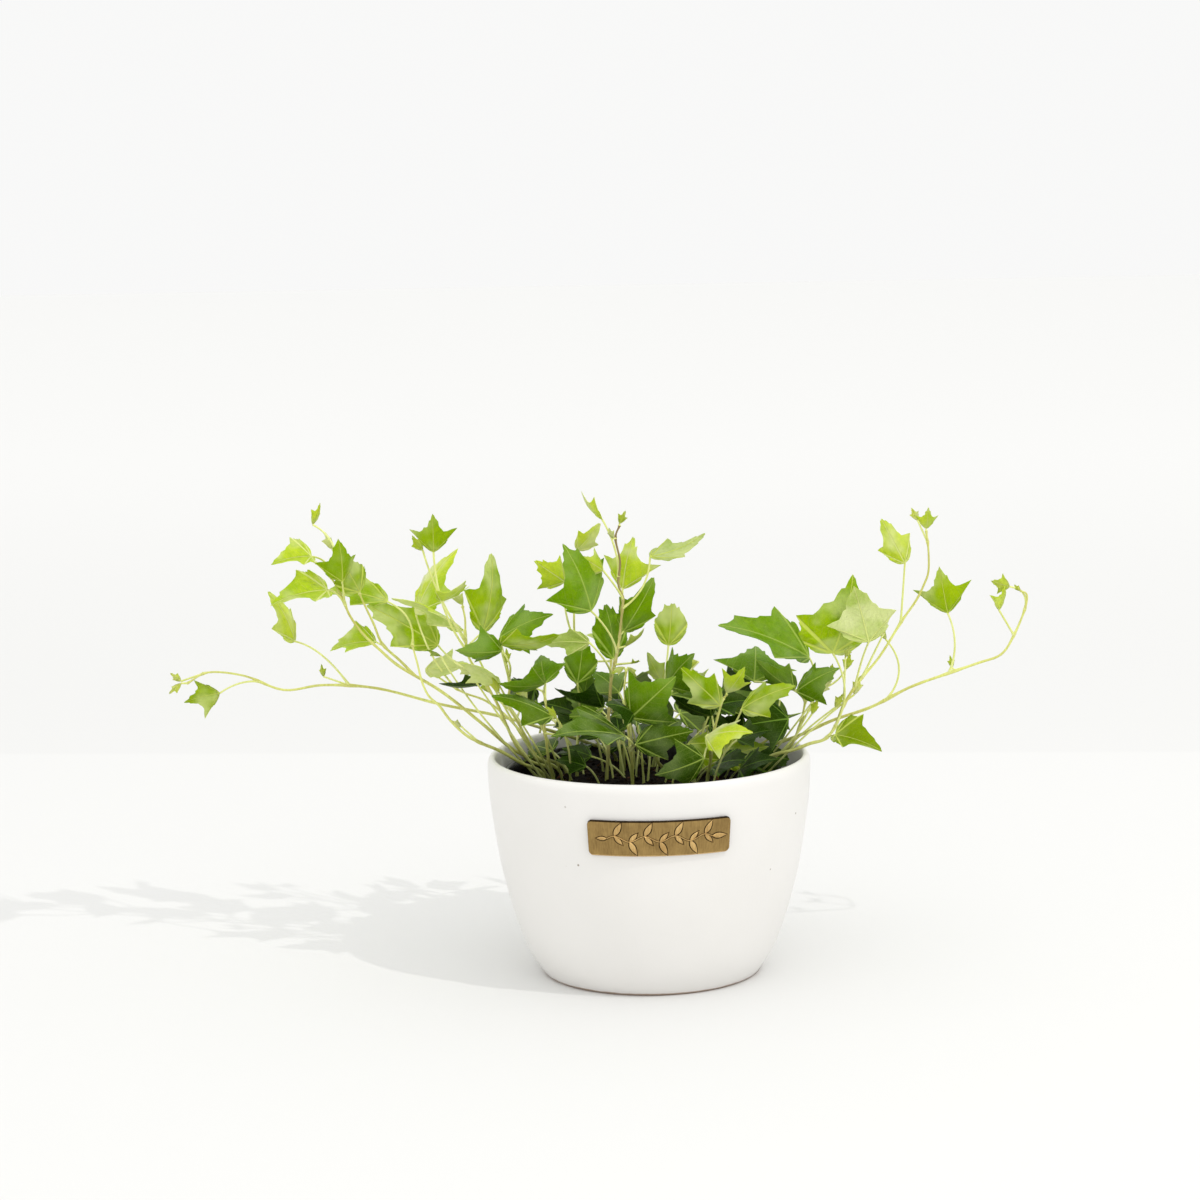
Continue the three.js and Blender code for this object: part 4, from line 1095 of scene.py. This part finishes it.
class Blade:
    """One leaf's blade: where a place on it lies in space."""

    def __init__(self, foot, tip, roll, fold, rng):
        self.foot = foot
        self.length = (tip - foot).length
        self.along = (tip - foot).normalized()
        front = Vector((0, -1, 0))
        facing = (front - self.along * front.dot(self.along)).normalized()
        self.facing = Quaternion(self.along, math.radians(roll)) @ facing
        self.across = self.along.cross(self.facing)
        self.hang = math.radians(fold)
        self.twist = rng.uniform(-BLADE_TWIST, BLADE_TWIST)
        self.wave = rng.uniform(*BLADE_WAVE)
        self.phase = rng.uniform(0, 2 * math.pi)
        self.widths = {sign: rng.uniform(*BLADE_WIDTHS) for sign in (1, -1)}

    def face(self, way):
        """Turns the blade about its midrib, so that its upper face looks as much as it can that way."""
        self.facing = (way - self.along * way.dot(self.along)).normalized()
        self.across = self.along.cross(self.facing)

    def lift(self, side, along, quilt):
        """How far the blade stands up from its flat, at a distance across (signed) and along."""
        arch = BLADE_ARCH * 4 * along * (1 - along)
        fold = (math.hypot(side, RIB_HALF_WIDTH) - RIB_HALF_WIDTH) * math.sin(self.hang)
        droop = LOBE_DROOP * side * side + TIP_DROOP * max(0.0, along - 0.5) ** 2
        out = math.hypot(side, along)
        angle = math.atan2(side, along)
        wave = self.wave * out * out * math.sin(4.5 * angle + self.phase)
        return arch - fold - droop + wave + quilt + self.twist * side * along

    def place(self, side, along, quilt=0.0, stand=0.0):
        """A place on the blade, standing off it by stand, in metres, towards its upper face."""
        slope = math.sin(self.hang) * max(-1.0, min(1.0, side / RIB_HALF_WIDTH / 2))
        normal = (self.facing * math.cos(self.hang) + self.across * slope).normalized()
        offset = (self.across * side * math.cos(self.hang) + self.along * along
                  + self.facing * self.lift(side, along, quilt))
        return self.foot + offset * self.length + normal * stand


def add_blade(builder, blade, outline, colour_slots):
    """A blade with both faces and the edge between them: rays from the stalk to its outline."""
    halves = {sign: waved_outline(outline, blade.widths[sign], blade.phase + sign) for sign in (1, -1)}
    plain = half_outline("wide")
    count = len(plain)
    rays = [(1, j) for j in range(count)] + [(-1, j) for j in reversed(range(count - 1))]
    upper_slot, under_slot = colour_slots
    points, uvs = [], []
    for stand_sign in (1, -1):
        for sign, j in rays:
            for k in range(1, RAY_STEPS + 1):
                t = (k / RAY_STEPS) ** 0.85
                side, along = (part * t for part in halves[sign][j])
                flat_side, flat_along = plain[j][0] * t, plain[j][1] * t
                thick = BLADE_THICKNESS * MM * lerp(0.5, 0.26, t)
                quilt = quilting(flat_side, flat_along, t)
                points.append(blade.place(sign * side, along, quilt, stand_sign * thick))
                uvs.append((0.5 + sign * flat_side * UV_SPREAD, flat_along))
        points.append(blade.place(0, 0, 0, stand_sign * BLADE_THICKNESS * MM / 2))
        uvs.append((0.5, 0.0))
    layer = len(rays) * RAY_STEPS + 1
    faces, slots = [], []
    for i in range(len(rays) - 1):
        a, b = i * RAY_STEPS, (i + 1) * RAY_STEPS
        faces.append((layer - 1, a, b))
        faces += [(a + k, a + k + 1, b + k + 1, b + k) for k in range(RAY_STEPS - 1)]
    slots += [upper_slot] * len(faces)
    under = [tuple(layer + i for i in reversed(face)) for face in faces]
    slots += [under_slot] * len(under)
    first, last = list(range(RAY_STEPS)), list(range((len(rays) - 1) * RAY_STEPS, layer - 1))
    rim = [i * RAY_STEPS + RAY_STEPS - 1 for i in range(1, len(rays) - 1)]
    border = [layer - 1, *first, *rim, *reversed(last)]
    wall = [(b, a, a + layer, b + layer) for a, b in zip(border, border[1:] + border[:1])]
    slots += [upper_slot] * len(wall)
    builder.add(points, faces + under + wall, slots, uvs)


def quilting(side, along, out):
    """The blade's swelling between its main veins, as a share of its length."""
    angle = math.degrees(math.atan2(side, along))
    for (low, _), (high, _) in zip(VEINS, VEINS[1:]):
        if low <= angle <= high:
            return QUILT * out * math.sin(math.pi * (angle - low) / (high - low)) ** 2
    return 0.0


def add_ribs(builder, blade, outline, slot):
    """The midrib and the ribs to the side lobes, raised from the blade's underside."""
    lobe = OUTLINES[outline][1][-1]
    width = STALK_RADIUS["end"] * MM * min(1.0, blade.length / RIB_FULL_LENGTH)
    ribs = [((0, 0.86), 0.85)]
    if blade.length > RIBBED_LENGTH:
        ribs += [((sign * lobe[0] * 0.8, lobe[1] * 0.8), 0.55) for sign in (1, -1)]
    steps = 10
    for (side, along), thick in ribs:
        places = [blade.place(side * i / steps, along * i / steps, 0, -BLADE_THICKNESS * MM / 2)
                  for i in range(steps + 1)]
        radii = [width * thick * lerp(1, 0.2, i / steps) for i in range(steps + 1)]
        points, faces = tube(places, radii, 6)
        builder.add(points, faces, slot)


def add_stalk(builder, start, foot, bow):
    """A leaf's stalk, a little swollen where it leaves the stem."""
    middle = (start + foot) / 2 + Vector((2 * bow[0], 2 * bow[2], 2 * bow[1])) * MM
    steps = 14
    places, radii = [], []
    for i in range(steps + 1):
        t = i / steps
        places.append(start * (1 - t) ** 2 + middle * 2 * t * (1 - t) + foot * t * t)
        swollen = 0.35 * max(0.0, 1 - t / 0.12) + 0.1 * max(0.0, (t - 0.9) / 0.1)
        radii.append((lerp(STALK_RADIUS["start"], STALK_RADIUS["end"], t) + swollen) * MM)
    points, faces = tube(places, radii, 8)
    builder.add(points, faces, STALK_SLOT)


def add_stem(builder, line, start_radius, leaf_places, slot, rng):
    """A stem along a smooth line, with a swelling at each leaf and slightly uneven elsewhere."""
    places = smooth_curve(line, STEM_STEPS)
    radii = []
    for i in range(len(places)):
        t = i / (len(places) - 1)
        apart = min((abs(i / STEM_STEPS - place) for place in leaf_places), default=KNOT["reach"])
        knot = max(0.0, 1 - apart / KNOT["reach"])
        radius = lerp(start_radius, STEM_RADIUS["end"], t)
        radii.append((radius * rng.uniform(0.94, 1.06) + KNOT["height"] * knot) * MM)
    points, faces = tube(places, radii, 10)
    builder.add(points, faces, slot)


def add_leaf(wood, leaves, blade, start, bow, outline, age):
    """A leaf of an age: its blade and ribs, and the stalk that bends from start to the blade."""
    upper_slot = 2 * AGES.index(age)
    add_blade(leaves, blade, outline, (upper_slot, upper_slot + 1))
    add_ribs(leaves, blade, outline, upper_slot + 1)
    add_stalk(wood, start, blade.foot, bow)


def make_vine(name, stems, rng, materials, taken):
    """A leafy stem with its branches: one piece for its wood and stalks, one for its leaves. Adds
    the leaves' places to taken."""
    wood, leaves = Builder(), Builder()
    ages = iter(LEAF_AGES[name])
    main = [seen(point) for point in stems[0][1]]
    for order, (start, path, leaf_list) in enumerate(stems):
        points = [seen(point) for point in path]
        if order == 0:
            x, y = start
            roots = [Vector((x, y, SOIL_LEVEL - ROOTED_DEPTH)) * MM, Vector((x, y, SOIL_LEVEL + 2)) * MM]
            radius = STEM_RADIUS["root"]
        else:
            roots = [curve_point(main, start)]
            radius = STEM_RADIUS["branch"]
        places = [leaf[0] + len(roots) for leaf in leaf_list]
        slot = OLD_STEM_SLOT if name in OLD_STEMS else YOUNG_STEM_SLOT
        add_stem(wood, roots + points, radius, places, slot, rng)
        for place, foot, tip, roll, outline, *rest in leaf_list:
            fold = rest[0] if rest else FOLD[outline]
            bow = rest[1] if len(rest) > 1 else (0, 0, 0)
            blade = Blade(seen(foot), seen(tip), roll, fold, rng)
            add_leaf(wood, leaves, blade, curve_point(points, place), bow, outline, next(ages))
            taken += [blade.place(0, 0.15), blade.place(0, 0.5), blade.place(0, 0.85)]
    wood.piece(f"{name}_stems", materials["wood"], "ivy", name)
    leaves.piece(f"{name}_leaves", materials["leaves"], "ivy", name)


def make_undergrowth(rng, materials, taken):
    """Inner shoots between the vines, each with a leaf: LONG_SHOOTS, then others strewn about, low
    and dark. The strewn ones keep clear of taken, the places of the vines' leaves."""
    wood, leaves = Builder(), Builder()
    for (x, y), foot, tip, roll, age, bow in LONG_SHOOTS:
        root = Vector((x, y, SOIL_LEVEL - 3)) * MM
        blade = Blade(seen(foot), seen(tip), roll, FOLD["bud"], rng)
        add_leaf(wood, leaves, blade, root, bow, "bud", age)
    made = 0
    while made < SHOOTS:
        out, angle = SHOOT_REACH * math.sqrt(rng.random()), rng.uniform(0, 2 * math.pi)
        lean = angle + rng.uniform(-1, 1)
        way = Vector((math.cos(lean), math.sin(lean), 0))
        height = lerp(*SHOOT_HEIGHT, rng.random() ** 1.6)
        spread = rng.uniform(*SHOOT_LEAN)
        ground = Vector((LINER["x"] + out * math.cos(angle), out * math.sin(angle), SOIL_LEVEL - 3))
        foot = ground + way * spread + Vector((0, 0, 3 + height))
        rise = Vector((0, 0, rng.uniform(-0.25, 0.45)))
        tip = foot + (way + rise).normalized() * rng.uniform(*SHOOT_LEAF)
        middle = (foot + tip) / 2 * MM
        crowded = any((middle - place).length < SHOOT_ROOM for place in taken)
        bare = tip.y < SHOOT_FRONT or (tip.x < BARE_CORNER["x"] and tip.y < BARE_CORNER["y"])
        if crowded or bare or math.hypot(tip.x, tip.y) > SHOOT_TIP_REACH:
            continue
        made += 1
        taken.append(middle)
        blade = Blade(foot * MM, tip * MM, 0, rng.uniform(-14, 14), rng)
        blade.face(Vector((0, -0.8, 1)) - 0.2 * way)
        age = rng.choices(AGES, SHOOT_AGES)[0]
        outline = rng.choices(("wide", "heart", "star", "round", "arrow"), (4, 2, 2, 2, 1))[0]
        bow = -0.12 * spread * way + Vector((0, 0, 0.16 * height))
        add_leaf(wood, leaves, blade, ground * MM, (bow.x, bow.z, bow.y), outline, age)
    wood.piece("undergrowth_stems", materials["wood"], "ivy")
    leaves.piece("undergrowth_leaves", materials["leaves"], "ivy")


# Floor, light and camera ----------------------------------------------------------------------------


def make_floor():
    """A pale floor that runs out of sight, a touch darker from the line where a wall would stand."""
    s = Shader("pale_floor")
    places = s.places()
    parts = s.parts(places)
    back = s.scaled(parts["X"], WALL_TURN, parts["Y"])
    grain = s.times(s.noise(places, 3.0, 2.0), 0.02)
    far = s.ramp(back, WALL_LINE - WALL_BLUR, WALL_LINE + WALL_BLUR)
    beyond = s.mix(s.ramp(back, WALL_LINE, WALL_TOP_LINE), WALL_TONE, WALL_TOP_TONE)
    tone = s.mix(s.math("ADD", far, grain), FLOOR_TONE, beyond)
    material = s.finish({"Base Color": tone, "Roughness": 0.85, "Specular IOR Level": 0.1})
    mesh = bpy.data.meshes.new("floor")
    corners = [(x * FLOOR_HALF, y * FLOOR_HALF, 0) for x, y in ((-1, -1), (1, -1), (1, 1), (-1, 1))]
    mesh.from_pydata(corners, [], [(0, 1, 2, 3)])
    mesh.materials.append(material)
    placed("floor", mesh)


def make_light():
    """Soft light from all round, brighter from above and from the front, and a small lamp at the
    right, in front and above."""
    bpy.context.scene.view_settings.view_transform = "Standard"
    world = bpy.data.worlds.new("studio")
    bpy.context.scene.world = world
    world.use_nodes = True
    sky = Nodes(world.node_tree)
    background = sky.tree.nodes["Background"].inputs
    parts = sky.parts(sky.node("TexCoord").outputs["Generated"])
    above = sky.ramp(parts["Z"], *SKY_RISE, SKY_LOW, SKY_HIGH)
    ahead = sky.ramp(parts["Y"], *SKY_TURN, 0.0, SKY_FRONT)
    sky.feed(background["Color"], (1, 1, 0.995, 1))
    sky.feed(background["Strength"], sky.math("ADD", above, ahead))
    data = bpy.data.lights.new("lamp", "POINT")
    data.energy = LAMP["power"]
    data.shadow_soft_size = LAMP["radius"]
    data.color = (1.0, 0.985, 0.96)
    data.use_nodes = True
    glow = Nodes(data.node_tree)
    falloff = glow.node("LightFalloff", {"Strength": 1.0}).outputs["Constant"]
    glow.feed(glow.tree.nodes["Emission"].inputs["Strength"], falloff)
    lamp = placed("lamp", data)
    lamp.location = LAMP["place"]
    lamp.visible_camera = False


def make_camera():
    data = bpy.data.cameras.new("camera")
    data.lens = CAMERA_LENS
    data.sensor_width = SENSOR_WIDTH
    data.clip_end = 50
    camera = placed("camera", data)
    eye = Vector((EYE["x"], -EYE["distance"], EYE["z"])) * MM
    aim = Vector((EYE["x"], 0, AIM_Z)) * MM
    turn = (aim - eye).to_track_quat("-Z", "Y") @ Quaternion((0, 0, 1), math.radians(CAMERA_ROLL))
    camera.location = eye
    camera.rotation_mode = "QUATERNION"
    camera.rotation_quaternion = turn
    bpy.context.scene.camera = camera


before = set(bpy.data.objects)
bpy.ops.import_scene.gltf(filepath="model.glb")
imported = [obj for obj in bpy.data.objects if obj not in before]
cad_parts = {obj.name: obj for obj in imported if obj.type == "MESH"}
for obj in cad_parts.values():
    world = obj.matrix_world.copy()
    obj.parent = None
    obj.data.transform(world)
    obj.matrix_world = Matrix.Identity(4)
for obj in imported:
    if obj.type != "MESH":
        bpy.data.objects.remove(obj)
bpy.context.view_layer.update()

random_draws = random.Random(7)
make_camera()
make_light()
make_floor()
make_planter()
make_plate()
make_nursery_pot()
make_soil(random_draws)
vine_materials = {
    "wood": [
        stem_material("stem_young", (224, 228, 134), (190, 188, 94)),
        stem_material("stem_old", (214, 210, 132), (166, 154, 84), aged=(138, 118, 70)),
        stem_material("stalk", (234, 238, 158), (208, 214, 116)),
    ],
    "leaves": [leaf_material(age, under) for age in AGES for under in (False, True)],
}
leaf_places = []
for vine_name, vine_stems in VINES:
    make_vine(vine_name, vine_stems, random_draws, vine_materials, leaf_places)
make_undergrowth(random_draws, vine_materials, leaf_places)
